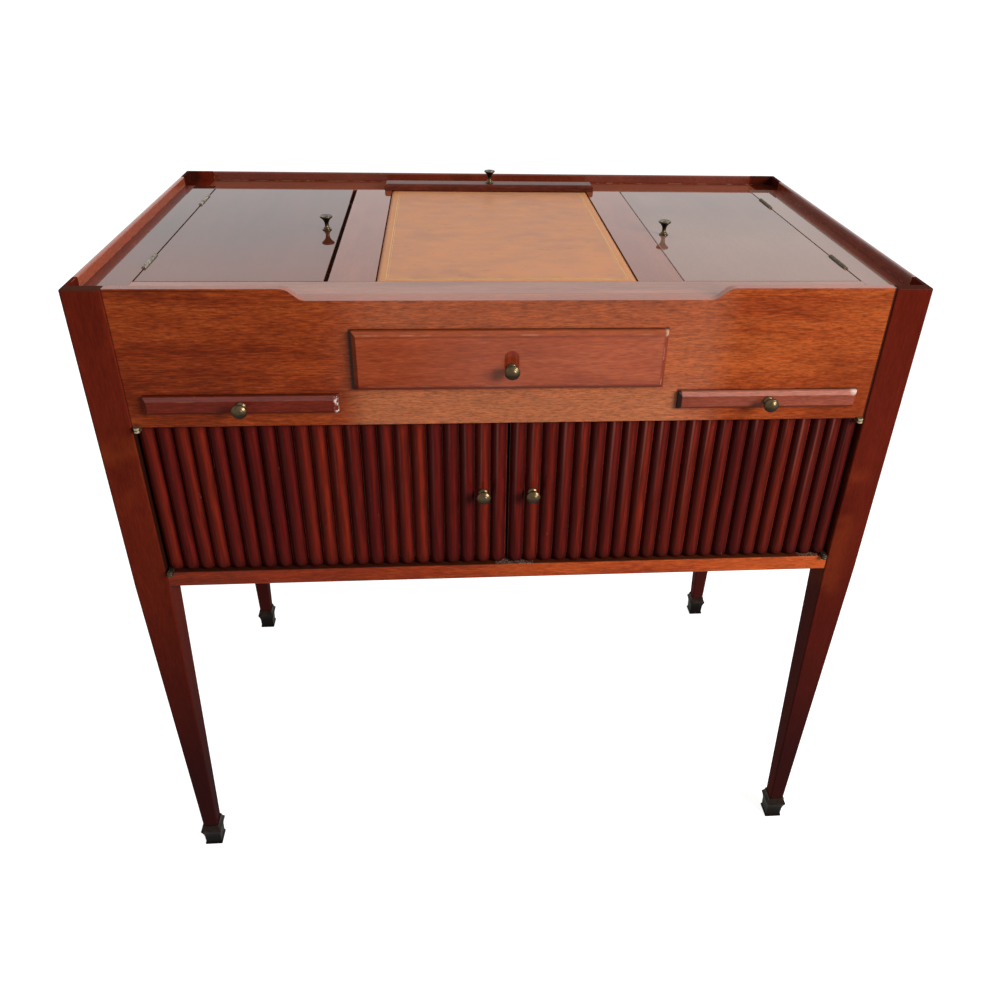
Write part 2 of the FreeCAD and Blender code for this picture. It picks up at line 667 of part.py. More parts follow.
def build():
    """Return every piece of the table by name."""
    pieces = {}

    # Legs and sabots
    legs = {
        "front": front_right_leg(panel_setback + lip_thickness),
        "back": front_right_leg(rim_thickness),
    }
    sabot = front_right_sabot(legs["front"])
    corners = [(side, end) for end in ("front", "back") for side in ("left", "right")]
    for side, end in corners:
        pieces[f"{end}_{side}_leg"] = at_corner(legs[end], side, end)
    pieces["sabots"] = Part.makeCompound([at_corner(sabot, side, end) for side, end in corners])
    post = block(leg_inner, half_width, front, leg_front_end, leg_clear_height, table_top)
    posts = [at_corner(post, side, end) for side, end in corners]

    # Walls of the case
    side_panel = block(side_inner, side_outer, leg_front_end, leg_back_end, leg_clear_height, table_top)
    for side in ("left", "right"):
        pieces[f"{side}_side_panel"] = on_side(side, side_panel)
    pieces["back_panel"] = block(-leg_inner, leg_inner, back_inner, back_face, leg_clear_height, table_top)
    bottom = block(-side_inner, side_inner, rail_back, back_inner, rail_top - bottom_thickness, rail_top)
    pieces["bottom_board"] = bottom.cut(posts)
    dust = block(-side_inner, side_inner, apron_back, partition_front, dust_under, slot_bottom)
    pieces["dust_board"] = dust.cut(posts)
    pieces["mirror_partition"] = block(
        -side_inner, side_inner, partition_front, partition_back, rail_top, top_under)
    strip = gallery_strip(rim_inner, half_width, leg_front_end, leg_back_end, Vec(0, 1, 0))
    back_strip = gallery_strip(-leg_inner, leg_inner, back - rim_thickness, back, Vec(1, 0, 0))
    pieces["gallery"] = Part.makeCompound([strip, mirrored(strip), back_strip])

    # Wells, drawer space and slide space
    floor = block(divider_outer, side_inner, apron_back, partition_front, slot_top, well_floor_top)
    pieces["well_floors"] = both_sides(floor.cut(posts))
    divider = block(divider_inner, divider_outer, apron_back, partition_front, slot_bottom, top_under)
    pieces["drawer_dividers"] = both_sides(divider)
    runner = block(divider_inner - runner_width, divider_inner, apron_back, partition_front,
                   drawer_bottom_z - runner_thickness, drawer_bottom_z)
    pieces["drawer_runners"] = both_sides(runner)
    inner_guide = block(divider_outer, slot_inner, apron_back, partition_front, slot_bottom, slot_top)
    outer_guide = block(slot_outer, side_inner, apron_back, partition_front, slot_bottom, slot_top).cut(posts)
    pieces["slide_guides"] = Part.makeCompound(
        [inner_guide, outer_guide, mirrored(inner_guide), mirrored(outer_guide)])
    stop_front = door_back + door_stop_gap
    pieces["door_stop"] = block(-leg_inner, leg_inner, stop_front, stop_front + door_stop_depth,
                                dust_under - door_stop_height, dust_under).cut(posts)

    # Framed top with its writing panel
    end_stile, middle_stile, front_board, back_board = top_frame()
    hinge_fixed, hinge_moving, hinge_room = lid_hinges()
    pieces["top_end_stiles"] = both_sides(end_stile.cut(hinge_room + hinge_fixed))
    pieces["top_middle_stiles"] = both_sides(middle_stile)
    pieces["top_front_rail"] = front_board
    pieces["top_back_rail"] = back_board
    panel_half = leather_half - leather_side_gap
    leather_top = table_top - leather_recess
    board_top = leather_top - leather_thickness
    panel_sides = (-panel_half, panel_half, lid_front, writing_back)
    pieces["writing_board"] = block(*panel_sides, top_under, board_top)
    pieces["writing_leather"] = block(*panel_sides, board_top, leather_top)
    panel_ledge = block(leather_half - ledge_reach, divider_inner, apron_back, partition_front,
                        top_under - ledge_thickness, top_under)
    lid_ledge = block(divider_outer, lid_opening + ledge_reach, apron_back, partition_front,
                      top_under - ledge_thickness, top_under)
    pieces["top_ledges"] = Part.makeCompound(
        [panel_ledge, lid_ledge, mirrored(panel_ledge), mirrored(lid_ledge)])

    # Lids
    for side in ("left", "right"):
        board, place = lid_board(side)
        knob = top_knob().translated(place)
        pieces[f"{side}_lid_board"] = on_side(side, board.cut(hinge_room + hinge_moving + [knob]))
        pieces[f"{side}_lid_hinge_leaves"] = on_side(side, Part.makeCompound(hinge_moving))
        pieces[f"{side}_lid_knob"] = on_side(side, knob)
    pieces["lid_hinge_plates"] = Part.makeCompound(hinge_fixed + [mirrored(half) for half in hinge_fixed])

    # Doors
    board, reeds, place = right_door()
    pivots = right_door_pivots()
    leaves = right_door_leaves()
    knob = facing_front(front_knob(), *place)
    leaf_room = [pivot_leaf(leaf_z) for leaf_z in door_leaf_heights]
    reeds = [reed.cut(leaf_room + [knob]) for reed in reeds]
    for side in ("left", "right"):
        pieces[f"{side}_door_board"] = on_side(side, board.cut(leaf_room + [knob]))
        pieces[f"{side}_door_reeds"] = on_side(side, Part.makeCompound(reeds))
        pieces[f"{side}_door_hinge_leaves"] = on_side(side, leaves)
        pieces[f"{side}_door_knob"] = on_side(side, knob)
    pieces["door_pivots"] = Part.makeCompound([pivots, mirrored(pivots)])
    sunk_pivots = [pivots, mirrored(pivots)]
    pieces["front_apron"] = apron().cut(sunk_pivots)
    pieces["front_rail"] = front_rail().cut(sunk_pivots)

    # Drawer
    drawer_front, drawer_side, drawer_tail, drawer_floor, patch, place = drawer_pieces()
    knob = facing_front(front_knob(), *place)
    pieces["drawer_front"] = drawer_front.cut(knob)
    pieces["drawer_lock_patch"] = patch.cut(knob)
    pieces["drawer_sides"] = both_sides(drawer_side)
    pieces["drawer_back"] = drawer_tail
    pieces["drawer_bottom"] = drawer_floor
    pieces["drawer_knob"] = knob

    # Candle slides
    board, lip, place = slide_pieces()
    knob = facing_front(front_knob(), *place)
    for side in ("left", "right"):
        pieces[f"{side}_slide_board"] = on_side(side, board.cut(knob))
        pieces[f"{side}_slide_front"] = on_side(side, lip.cut(knob))
        pieces[f"{side}_slide_knob"] = on_side(side, knob)

    # Rising mirror
    glass_front = mirror_front + mirror_glass_setback
    glass = mirror_panel(glass_front, mirror_glass_thickness)
    backboard = mirror_panel(glass_front + mirror_glass_thickness, mirror_board_thickness)
    knob = top_knob().translated(Vec(0, mirror_middle, table_top + cap_height))
    pieces["mirror_cap"] = mirror_cap().cut(knob)
    pieces["mirror_frame"] = mirror_frame().cut(knob)
    pieces["mirror_glass"] = glass
    pieces["mirror_backboard"] = backboard
    pieces["mirror_knob"] = knob
    pieces["mirror_guides"] = both_sides(mirror_guide())
    return pieces


os.makedirs("parts", exist_ok=True)
for name, shape in build().items():
    shape.exportStep(f"parts/{name}.step")
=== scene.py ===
"""Dressing table with reeded doors: its finishes, turned fittings and studio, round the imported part."""

import logging
import math
from dataclasses import dataclass
from enum import Enum
from typing import Any, Optional, Sequence, Union

import bmesh
import bpy
from mathutils import Euler, Matrix, Vector, noise


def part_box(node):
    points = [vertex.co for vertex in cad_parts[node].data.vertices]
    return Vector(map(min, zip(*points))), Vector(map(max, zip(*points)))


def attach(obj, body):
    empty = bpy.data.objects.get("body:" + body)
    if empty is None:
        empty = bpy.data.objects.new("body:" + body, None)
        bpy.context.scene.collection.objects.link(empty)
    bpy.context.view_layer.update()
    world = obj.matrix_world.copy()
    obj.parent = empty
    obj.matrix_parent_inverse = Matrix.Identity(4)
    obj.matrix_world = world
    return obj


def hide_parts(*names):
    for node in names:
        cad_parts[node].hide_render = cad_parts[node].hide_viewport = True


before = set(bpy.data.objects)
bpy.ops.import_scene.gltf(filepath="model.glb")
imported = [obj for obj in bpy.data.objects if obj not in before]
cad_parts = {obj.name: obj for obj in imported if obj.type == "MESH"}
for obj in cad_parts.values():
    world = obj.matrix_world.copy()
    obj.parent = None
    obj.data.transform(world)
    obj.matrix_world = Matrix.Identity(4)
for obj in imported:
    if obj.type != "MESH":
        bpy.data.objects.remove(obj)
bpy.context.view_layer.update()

MM = 0.001
PHOTO_WIDTH = 994
PHOTO_HEIGHT = 995
LOG = logging.getLogger("dressing_table")

Socket = bpy.types.NodeSocket
Material = bpy.types.Material
Piece = bpy.types.Object
Shape = bmesh.types.BMesh
Triple = tuple[float, float, float]
Span = tuple[float, float]
Limits = tuple[Optional[float], Optional[float]]
Profile = Sequence[Span]
Section = tuple[Vector, Vector]
OPEN: Limits = (None, None)
WHITE: Triple = (1.0, 1.0, 1.0)


class Grain(Enum):
    """Axis that the fibres of a wooden piece follow."""

    WIDTH = 0
    DEPTH = 1
    HEIGHT = 2

    def stretch(self, along: float, across: float) -> Triple:
        """Features per metre on the three axes, for so many along and across the fibres."""
        return tuple(along if axis == self.value else across for axis in range(3))


class Side(Enum):
    """Left or right half of the table, as seen from the front."""

    LEFT = "left"
    RIGHT = "right"

    @property
    def sign(self) -> int:
        """Sign of x on this side."""
        return -1 if self is Side.LEFT else 1


class TreeWriter:
    """A node tree with short calls that add nodes and join them."""

    def __init__(self, tree: bpy.types.NodeTree) -> None:
        """Takes the empty tree that the nodes go into."""
        self.tree = tree

    def feed(self, socket: Socket, value: Any) -> None:
        """Joins a socket to an input, or sets a plain value on it.

        Args:
            socket: The input to feed.
            value: An output socket, a plain value, or None to leave the input alone.
        """
        if isinstance(value, Socket):
            self.tree.links.new(value, socket)
        elif value is not None:
            plain_colour = socket.type == "RGBA" and len(value) == 3
            socket.default_value = (*value, 1.0) if plain_colour else value

    def add(self, kind: str, inputs: Optional[dict] = None, **settings: Any) -> bpy.types.Node:
        """Adds one node.

        Args:
            kind: The node's type name.
            inputs: Values or sockets by input name or number.
            settings: Plain properties of the node, set before its inputs.

        Returns:
            The new node.
        """
        node = self.tree.nodes.new(kind)
        for name, value in settings.items():
            setattr(node, name, value)
        for key, value in (inputs or {}).items():
            self.feed(node.inputs[key], value)
        return node

    def out(self, kind: str, inputs: Optional[dict] = None, **settings: Any) -> Socket:
        """Adds one node and gives its first output."""
        return self.add(kind, inputs, **settings).outputs[0]

    def maths(self, operation: str, first: Any, second: Any = 0.0, clamp: bool = False) -> Socket:
        """Adds a Math node, whose result stays between 0 and 1 if it is clamped."""
        return self.out("ShaderNodeMath", {0: first, 1: second}, operation=operation, use_clamp=clamp)

    def times(self, first: Any, second: Any) -> Socket:
        """Multiplies two values."""
        return self.maths("MULTIPLY", first, second)

    def plus(self, first: Any, second: Any) -> Socket:
        """Adds two values."""
        return self.maths("ADD", first, second)

    def minus(self, first: Any, second: Any) -> Socket:
        """Takes the second value from the first."""
        return self.maths("SUBTRACT", first, second)

    def most(self, first: Any, second: Any) -> Socket:
        """Takes the greater of two values."""
        return self.maths("MAXIMUM", first, second)


class ShaderSheet(TreeWriter):
    """The node tree of one material."""

    def __init__(self, name: str) -> None:
        """Starts an empty material.

        Args:
            name: The material's name.
        """
        self.material = bpy.data.materials.new(name)
        self.material.use_nodes = True
        super().__init__(self.material.node_tree)
        self.tree.nodes.clear()
        texture = self.add("ShaderNodeTexCoord").outputs
        self.place = texture["Object"]
        self.axes = self.add("ShaderNodeSeparateXYZ", {0: self.place}).outputs
        self.facing = self.add("ShaderNodeSeparateXYZ", {0: texture["Normal"]}).outputs

    def shifted(self, seed: int) -> Socket:
        """Object coordinates moved to another part of the timber, so that no two boards match."""
        offset = (0.37 * seed, 0.61 * seed + 0.2, 0.83 * seed + 0.5)
        return self.out("ShaderNodeMapping", {"Vector": self.place, "Location": offset})

    def noise(
            self, scale: Union[float, Triple], detail: float = 2.0, roughness: float = 0.5,
            place: Optional[Socket] = None) -> Socket:
        """Adds a noise pattern.

        Args:
            scale: Features per metre, on all axes or on each.
            detail: How many finer layers it has.
            roughness: How strong the finer layers are.
            place: The coordinates it reads, or the object's own.

        Returns:
            The pattern's value socket.
        """
        spread = scale if isinstance(scale, tuple) else (scale,) * 3
        scaled = self.out("ShaderNodeVectorMath", {0: place or self.place, 1: spread}, operation="MULTIPLY")
        values = {"Vector": scaled, "Scale": 1.0, "Detail": detail, "Roughness": roughness}
        return self.out("ShaderNodeTexNoise", values)

    def between(self, value: Any, low: float, high: float, bottom: float = 0.0, top: float = 1.0) -> Socket:
        """Maps a value from one range to another, clamped, low end first."""
        return self.out("ShaderNodeMapRange", {0: value, 1: low, 2: high, 3: bottom, 4: top})

    def mix(self, share: Any, first: Any, second: Any, blend: str = "MIX") -> Socket:
        """Lays a share of the second colour over the first."""
        node = self.add("ShaderNodeMix", {0: share, 6: first, 7: second}, data_type="RGBA", blend_type=blend)
        return node.outputs[2]

    def varied(self, share: float, colour: Any, value: Any, bottom: float, top: float) -> Socket:
        """Makes a colour darker and lighter by the middle range of a pattern."""
        return self.mix(share, colour, self.between(value, 0.3, 0.7, bottom, top), "MULTIPLY")

    def ramp(self, value: Any, stops: Sequence[tuple[float, Union[float, Triple]]]) -> Socket:
        """Colours a value by a row of stops.

        Args:
            value: The value's socket.
            stops: Positions and their colours or greys, in order.

        Returns:
            The colour's socket.
        """
        node = self.add("ShaderNodeValToRGB", {0: value})
        elements = node.color_ramp.elements
        while len(elements) < len(stops):
            elements.new(0.5)
        for element, (position, colour) in zip(elements, stops):
            element.position = position
            element.color = (*(colour if isinstance(colour, tuple) else (colour,) * 3), 1.0)
        return node.outputs[0]

    def bump(self, height: Any, strength: float, distance: float, normal: Optional[Socket] = None) -> Socket:
        """Turns a height, whose full step is a distance in metres, into a normal."""
        values = {"Height": height, "Strength": strength, "Distance": distance, "Normal": normal}
        return self.out("ShaderNodeBump", values)

    def edges(self, radius: float) -> tuple[Socket, Socket]:
        """Finds the outer edges.

        Args:
            radius: How wide an edge counts as, in metres.

        Returns:
            The softened normal and a mask of the edges.
        """
        soft = self.out("ShaderNodeBevel", {"Radius": radius}, samples=4)
        straight = self.add("ShaderNodeNewGeometry").outputs["Normal"]
        same = self.add("ShaderNodeVectorMath", {0: soft, 1: straight}, operation="DOT_PRODUCT")
        return soft, self.between(same.outputs["Value"], 0.97, 0.80)

    def close(self, inputs: dict) -> Material:
        """Ends the tree in one Principled surface.

        Args:
            inputs: Its values and sockets by name.

        Returns:
            The finished material.
        """
        surface = self.out("ShaderNodeBsdfPrincipled", inputs)
        self.add("ShaderNodeOutputMaterial", {"Surface": surface})
        return self.material


@dataclass(frozen=True)
class StainOrPaintedLight:
    """A crack, chip, grimy line or faded patch, or a painted shadow, shade or highlight: one colour in a
    soft-sided box, in millimetres.
    """

    colour: Triple
    x: Limits = OPEN
    y: Limits = OPEN
    z: Limits = OPEN
    soft: float = 0.4
    share: float = 1.0
    both: bool = False
    broken: float = 0.0

    def mask(self, sheet: ShaderSheet) -> Any:
        """Finds how much of the mark shows at a place.

        Args:
            sheet: The material that it is on.

        Returns:
            The share's socket.
        """
        shown = self.share
        axes = list(sheet.axes)
        if self.both:
            axes[0] = sheet.maths("ABSOLUTE", axes[0])
        for axis, limits in zip(axes, (self.x, self.y, self.z)):
            for limit, sign in zip(limits, (1, -1)):
                if limit is not None:
                    start, end = (limit - sign * self.soft) * MM, (limit + sign * self.soft) * MM
                    shown = sheet.times(sheet.between(axis, start, end), shown)
        if self.broken:
            bits = sheet.noise(self.broken, 3.0, 0.6)
            shown = sheet.times(sheet.between(bits, 0.50, 0.58), shown)
        return shown


@dataclass(frozen=True)
class Finish:
    """A finish whose material is made at its first use."""

    name: str

    def surface(self, sheet: ShaderSheet, *board: Any) -> dict:
        """Values and sockets of the surface, which each kind of finish draws for itself."""
        raise NotImplementedError

    def made(self, name: str, *board: Any) -> Material:
        """Makes a material once.

        Args:
            name: The material's name.
            board: What sets one board of a timber apart.

        Returns:
            The new material, or the one made before.
        """
        known = bpy.data.materials.get(name)
        if known:
            return known
        sheet = ShaderSheet(name)
        return sheet.close(self.surface(sheet, *board))

    def material(self) -> Material:
        """The finish's material."""
        return self.made(self.name)


@dataclass(frozen=True)
class WoodFinish(Finish):
    """A polished timber: three tones of its figure, its pores, polish, a tone shift towards the right, wear,
    stained patches, and painted light and shade.
    """

    deep: Triple
    body: Triple
    light: Triple
    figure: float = 1.0
    figure_shares: Triple = (0.40, 0.36, 0.24)
    contrast: float = 2.4
    bend: float = 20 * MM
    streaks: float = 0.2
    pores: float = 0.4
    pore_count: Span = (210.0, 1500.0)
    pore_range: Span = (0.46, 0.72)
    gloss: float = 0.35
    specular: float = 0.05
    polish: float = 0.05
    polish_roughness: float = 0.06
    polish_band: Optional[Span] = None
    band_soft: Span = (40 * MM, 14 * MM)
    level_polish: float = 0.0
    rightward_tone: float = 0.0
    rightward_reach: float = 0.36
    foot: float = 0.0
    foot_shade_tone: Triple = (0.024, 0.0042, 0.0045)
    foot_heights: Span = (0.48, 0.14)
    wear: float = 0.0
    worn: Triple = (0.52, 0.30, 0.16)
    chip_range: Span = (0.52, 0.66)
    edge_width: float = 0.9 * MM
    stains_and_painted_light: tuple[StainOrPaintedLight, ...] = ()

    def material(self, grain: Grain, seed: int) -> Material:
        """The timber for one board: the way its fibres run, and a number for the board."""
        return self.made(f"{self.name}_{grain.name.lower()}_{seed}", grain, seed)

    def surface(self, sheet: ShaderSheet, grain: Grain, seed: int) -> dict:
        """Draws the timber of one board.

        Args:
            sheet: The material.
            grain: The way the fibres run.
            seed: A number for the board.

        Returns:
            The surface's values and sockets.
        """
        board = sheet.shifted(seed)
        colour, fibre, pore = self.figured(sheet, board, grain)
        rough = sheet.between(fibre, 0.3, 0.7, self.gloss - 0.05, self.gloss + 0.08)
        soft, edge = sheet.edges(self.edge_width)
        if self.wear:
            chips = sheet.between(sheet.noise(95.0, 3.0, 0.65, board), *self.chip_range)
            worn = sheet.maths("MULTIPLY", sheet.times(edge, chips), self.wear, clamp=True)
            colour = sheet.mix(worn, colour, self.worn)
            rough = sheet.plus(rough, sheet.times(worn, 0.25))
        # Marks: soiling, chips and faded patches, and painted light and shade.
        for mark in self.stains_and_painted_light:
            colour = sheet.mix(mark.mask(sheet), colour, mark.colour)
        colour = sheet.varied(self.streaks, colour, fibre, 0.3, 1.7)
        colour = sheet.mix(pore, colour, tuple(0.35 * part for part in self.deep))
        height = sheet.minus(sheet.times(fibre, 0.35), pore)
        ripple = sheet.noise(16.0, 1.0, place=board)
        return {
            "Base Color": colour,
            "Roughness": rough,
            "Normal": sheet.bump(height, 0.25, 0.12 * MM, soft),
            "Specular IOR Level": self.specular,
            "Coat Weight": self.coat(sheet),
            "Coat Roughness": self.polish_roughness,
            "Coat Normal": sheet.bump(ripple, 0.10, 0.5 * MM, soft),
        }

    def figured(self, sheet: ShaderSheet, board: Socket, grain: Grain) -> tuple[Socket, Socket, Socket]:
        """Draws the figure of the timber.

        Args:
            sheet: The material.
            board: The board's coordinates.
            grain: The way the fibres run.

        Returns:
            The colour, the fibres' value and the pores' mask.
        """
        wander = sheet.times(sheet.noise(grain.stretch(2.2, 7.0), place=board), self.bend)
        bent = sheet.out("ShaderNodeVectorMath", {0: board, 1: wander}, operation="ADD")
        broad = sheet.noise(grain.stretch(1.4, 13.0), place=bent)
        bands = sheet.noise(grain.stretch(11.0, 95.0), 3.0, 0.6, bent)
        fibre = sheet.noise(grain.stretch(80.0, 700.0), place=bent)
        fleck = sheet.noise(grain.stretch(*self.pore_count), 1.0, place=bent)
        layers = zip((broad, bands, fibre), self.figure_shares)
        first, second, third = [sheet.times(layer, share) for layer, share in layers]
        tone = sheet.plus(sheet.plus(first, second), third)
        tone = sheet.plus(sheet.times(sheet.minus(tone, 0.5), self.contrast * self.figure), 0.5)
        # Tone shift across the table: lighter towards the right, darker there when negative.
        if self.rightward_tone:
            reach = self.rightward_reach
            tone = sheet.plus(tone, sheet.between(sheet.axes[0], -reach, reach, -self.rightward_tone, self.rightward_tone))
        colour = sheet.ramp(tone, ((0.12, self.deep), (0.5, self.body), (0.9, self.light)))
        pore = sheet.times(sheet.between(fleck, *self.pore_range), self.pores)
        cloud = sheet.noise(grain.stretch(14.0, 30.0), 3.0, place=board)
        colour = sheet.mix(0.5, colour, sheet.ramp(cloud, ((0.3, 0.62), (0.7, 1.0))), "MULTIPLY")
        # Painted shade: the foot of the piece is darker, less so on the faces that look left.
        if self.foot:
            low = sheet.between(sheet.axes[2], *self.foot_heights, 0.0, self.foot)
            low = sheet.times(low, sheet.between(sheet.facing[0], -0.5, -0.9, 1.0, 0.25))
            colour = sheet.mix(low, colour, self.foot_shade_tone)
        return colour, fibre, pore

    def coat(self, sheet: ShaderSheet) -> Any:
        """Weight of the polish: all over, or in a band at the middle and on the faces that look up.

        Args:
            sheet: The material.

        Returns:
            A plain weight or its socket.
        """
        weight = self.polish
        across = sheet.axes[0]
        if self.polish_band:
            left, right = (limit * MM for limit in self.polish_band)
            left_soft, right_soft = self.band_soft
            weight = sheet.between(across, left - left_soft, left + left_soft, 0.0, self.polish)
            weight = sheet.times(weight, sheet.between(across, right + right_soft, right - right_soft))
        if self.level_polish:
            weight = sheet.most(weight, sheet.between(sheet.facing[2], 0.5, 0.7, 0.0, self.level_polish))
        return weight


@dataclass(frozen=True)
class ReedFinish(Finish):
    """Dark beads of differing tones, with painted shade across them and at their ends, and a painted
    highlight on their shoulders.
    """

    plum: Triple
    red: Triple
    shade_and_grime: Triple
    painted_highlight: Triple
    gloss: float
    polish: float
    flank_shade_stops: tuple[Span, ...]
    scuff: Triple = (0.30, 0.14, 0.09)
    door_shade_reach: float = 0.34
    foot_heights: Span = (492.0 * MM, 459.0 * MM)
    head_heights: Span = (622.0 * MM, 631.0 * MM)
    highlight_heights: Span = (0.50, 0.62)
    highlight_reach: Span = (-0.25, 0.15)
    highlight_share: float = 0.34
    shoulder: float = 0.22
    side_light: float = 0.6
    wobble: float = 0.18
    end_shade: float = 0.92

    def surface(self, sheet: ShaderSheet) -> dict:
        """Draws the beads, each by its own tone.

        Args:
            sheet: The material.

        Returns:
            The surface's values and sockets.
        """
        tone = sheet.add("ShaderNodeAttribute", attribute_name="reed_tone").outputs["Fac"]
        streak = sheet.noise(Grain.HEIGHT.stretch(7.0, 300.0), 3.0, 0.6)
        fibre = sheet.noise(Grain.HEIGHT.stretch(40.0, 1200.0), 1.0)
        vein = sheet.noise(Grain.HEIGHT.stretch(22.0, 480.0))
        mixed = sheet.plus(sheet.times(tone, 0.45), sheet.times(streak, 0.6))
        colour = sheet.mix(sheet.between(mixed, 0.30, 0.90), self.plum, self.red)
        colour = sheet.varied(0.45, colour, vein, 0.4, 1.6)
        # Painted shade: the beads of the right-hand door are darker.
        colour = sheet.mix(sheet.between(sheet.axes[0], 0.0, self.door_shade_reach, 0.0, 0.32), colour, self.shade_and_grime)
        # Painted shade across the beads and at their ends.
        colour = sheet.mix(self.painted_shade(sheet), colour, self.shade_and_grime)
        # Painted highlight on the shoulders of the upper beads.
        colour = sheet.mix(self.painted_highlight_mask(sheet, streak), colour, self.painted_highlight)
        scuffed = sheet.between(sheet.noise((150.0, 150.0, 60.0), 3.0, 0.7), 0.71, 0.76)
        return {
            "Base Color": sheet.mix(sheet.times(scuffed, 0.35), colour, self.scuff),
            "Roughness": sheet.between(streak, 0.3, 0.7, self.gloss - 0.06, self.gloss + 0.08),
            "Normal": sheet.bump(fibre, 0.2, 0.1 * MM),
            "Specular IOR Level": 0.0,
            "Coat Weight": self.polish,
            "Coat Roughness": 0.13,
        }

    def painted_shade(self, sheet: ShaderSheet) -> Socket:
        """Painted shade across each bead by the way it faces, painted shadow at its head under the apron, and
        painted shade at its foot.

        Args:
            sheet: The material.

        Returns:
            The painted shade's mask.
        """
        # Painted shade at the foot, and the apron's shadow painted at the head.
        foot = sheet.between(sheet.axes[2], *self.foot_heights)
        head = sheet.between(sheet.axes[2], *self.head_heights, 0.0, 0.7)
        ends = sheet.times(sheet.most(sheet.maths("POWER", foot, 2.4), head), self.end_shade)
        uneven = sheet.noise(Grain.HEIGHT.stretch(28.0, 110.0))
        # Painted shade across each bead, by which way it faces and where it stands.
        across = sheet.plus(sheet.facing[0], sheet.times(sheet.axes[0], self.side_light))
        across = sheet.plus(across, sheet.between(uneven, 0.25, 0.75, -self.wobble, self.wobble))
        sides = sheet.ramp(sheet.between(across, -1.0, 1.0), self.flank_shade_stops)
        return sheet.most(sides, ends)

    def painted_highlight_mask(self, sheet: ShaderSheet, streak: Socket) -> Socket:
        """Painted highlight on the left shoulder of the upper beads.

        Args:
            sheet: The material.
            streak: The pattern that breaks it up.

        Returns:
            The painted highlight's mask.
        """
        aside = sheet.maths("ABSOLUTE", sheet.plus(sheet.facing[0], self.shoulder))
        painted_highlight = sheet.between(sheet.axes[2], *self.highlight_heights)
        painted_highlight = sheet.times(sheet.between(aside, 0.20, 0.03), painted_highlight)
        painted_highlight = sheet.times(painted_highlight, sheet.between(sheet.axes[0], *self.highlight_reach, 0.0, self.highlight_share))
        return sheet.times(painted_highlight, sheet.between(streak, 0.42, 0.55))


@dataclass(frozen=True)
class MetalFinish(Finish):
    """An old cast or turned metal: bright where handled, dull and dark where not."""

    bright: Triple
    dull: Triple
    gloss: float
    tarnish: float
    metallic: float = 1.0
    right_darkening: float = 0.0
    low_tarnish: float = 0.0
    under_shade: float = 0.0
    edge_width: float = 0.6 * MM
    edge_rub: float = 0.5

    def surface(self, sheet: ShaderSheet) -> dict:
        """Draws the metal with its tarnish, painted shade on the faces that look down, and rubbed edges.

        Args:
            sheet: The material.

        Returns:
            The surface's values and sockets.
        """
        cloud = sheet.noise(160.0, 4.0, 0.65)
        spots = sheet.noise(900.0)
        soft, edge = sheet.edges(self.edge_width)
        shade_and_grime = sheet.times(sheet.between(cloud, 0.36, 0.62), self.tarnish)
        # Darker on the right-hand side of the table.
        if self.right_darkening:
            shade_and_grime = sheet.most(shade_and_grime, sheet.between(sheet.axes[0], 0.0, 0.05, 0.0, self.right_darkening))
        if self.low_tarnish:
            top, bottom = self.low_tarnish + 0.5 * MM, self.low_tarnish - 0.5 * MM
            shade_and_grime = sheet.most(shade_and_grime, sheet.between(sheet.axes[2], top, bottom))
        # Painted shade and dark reflection on the faces that look down.
        if self.under_shade:
            shade_and_grime = sheet.most(shade_and_grime, sheet.between(sheet.facing[2], 0.65, -0.25, 0.0, self.under_shade))
        rubbed = sheet.maths("SUBTRACT", shade_and_grime, sheet.times(edge, self.edge_rub), clamp=True)
        return {
            "Base Color": sheet.mix(rubbed, self.bright, self.dull),
            "Metallic": self.metallic,
            "Roughness": sheet.plus(sheet.times(rubbed, 0.22), self.gloss),
            "Specular IOR Level": 0.06,
            "Normal": sheet.bump(spots, 0.12, 0.1 * MM, soft),
        }


@dataclass(frozen=True)
class LeatherFinish(Finish):
    """Tan skiver with a warmer border outside its tooled line, scuffs and a fine grain."""

    tan: Triple
    pale: Triple
    border: Triple
    scuff: Triple
    line_x: float
    line_front: float
    line_soft: float = 0.4 * MM
    border_share: float = 0.85
    grain_count: float = 900.0

    def surface(self, sheet: ShaderSheet) -> dict:
        """Draws the leather.

        Args:
            sheet: The material.

        Returns:
            The surface's values and sockets.
        """
        cloud = sheet.noise((9.0, 13.0, 9.0), 4.0, 0.6)
        patch = sheet.noise((38.0, 60.0, 38.0), 3.0)
        colour = sheet.mix(sheet.between(cloud, 0.32, 0.68), self.tan, self.pale)
        colour = sheet.mix(sheet.between(patch, 0.40, 0.70, 0.0, 0.6), colour, self.border)
        colour = sheet.varied(0.3, colour, patch, 0.8, 1.2)
        across, front, soft = sheet.maths("ABSOLUTE", sheet.axes[0]), self.line_front, self.line_soft
        aside = sheet.between(across, self.line_x - soft, self.line_x + soft)
        ahead = sheet.between(sheet.axes[1], front + soft, front - soft)
        colour = sheet.mix(sheet.times(sheet.most(aside, ahead), self.border_share), colour, self.border)
        strokes = sheet.noise((55.0, 260.0, 55.0), 3.0, 0.6)
        marks = sheet.times(sheet.between(strokes, 0.64, 0.74), 0.55)
        specks = sheet.times(sheet.between(sheet.noise(210.0, 1.0), 0.71, 0.76), 0.5)
        cells = sheet.out("ShaderNodeTexVoronoi", {"Vector": sheet.place, "Scale": self.grain_count})
        height = sheet.plus(cells, sheet.times(patch, 0.6))
        return {
            "Base Color": sheet.mix(sheet.most(marks, specks), colour, self.scuff),
            "Roughness": sheet.between(cloud, 0.3, 0.7, 0.42, 0.55),
            "Normal": sheet.bump(height, 0.3, 0.15 * MM),
            "Specular IOR Level": 0.35,
        }


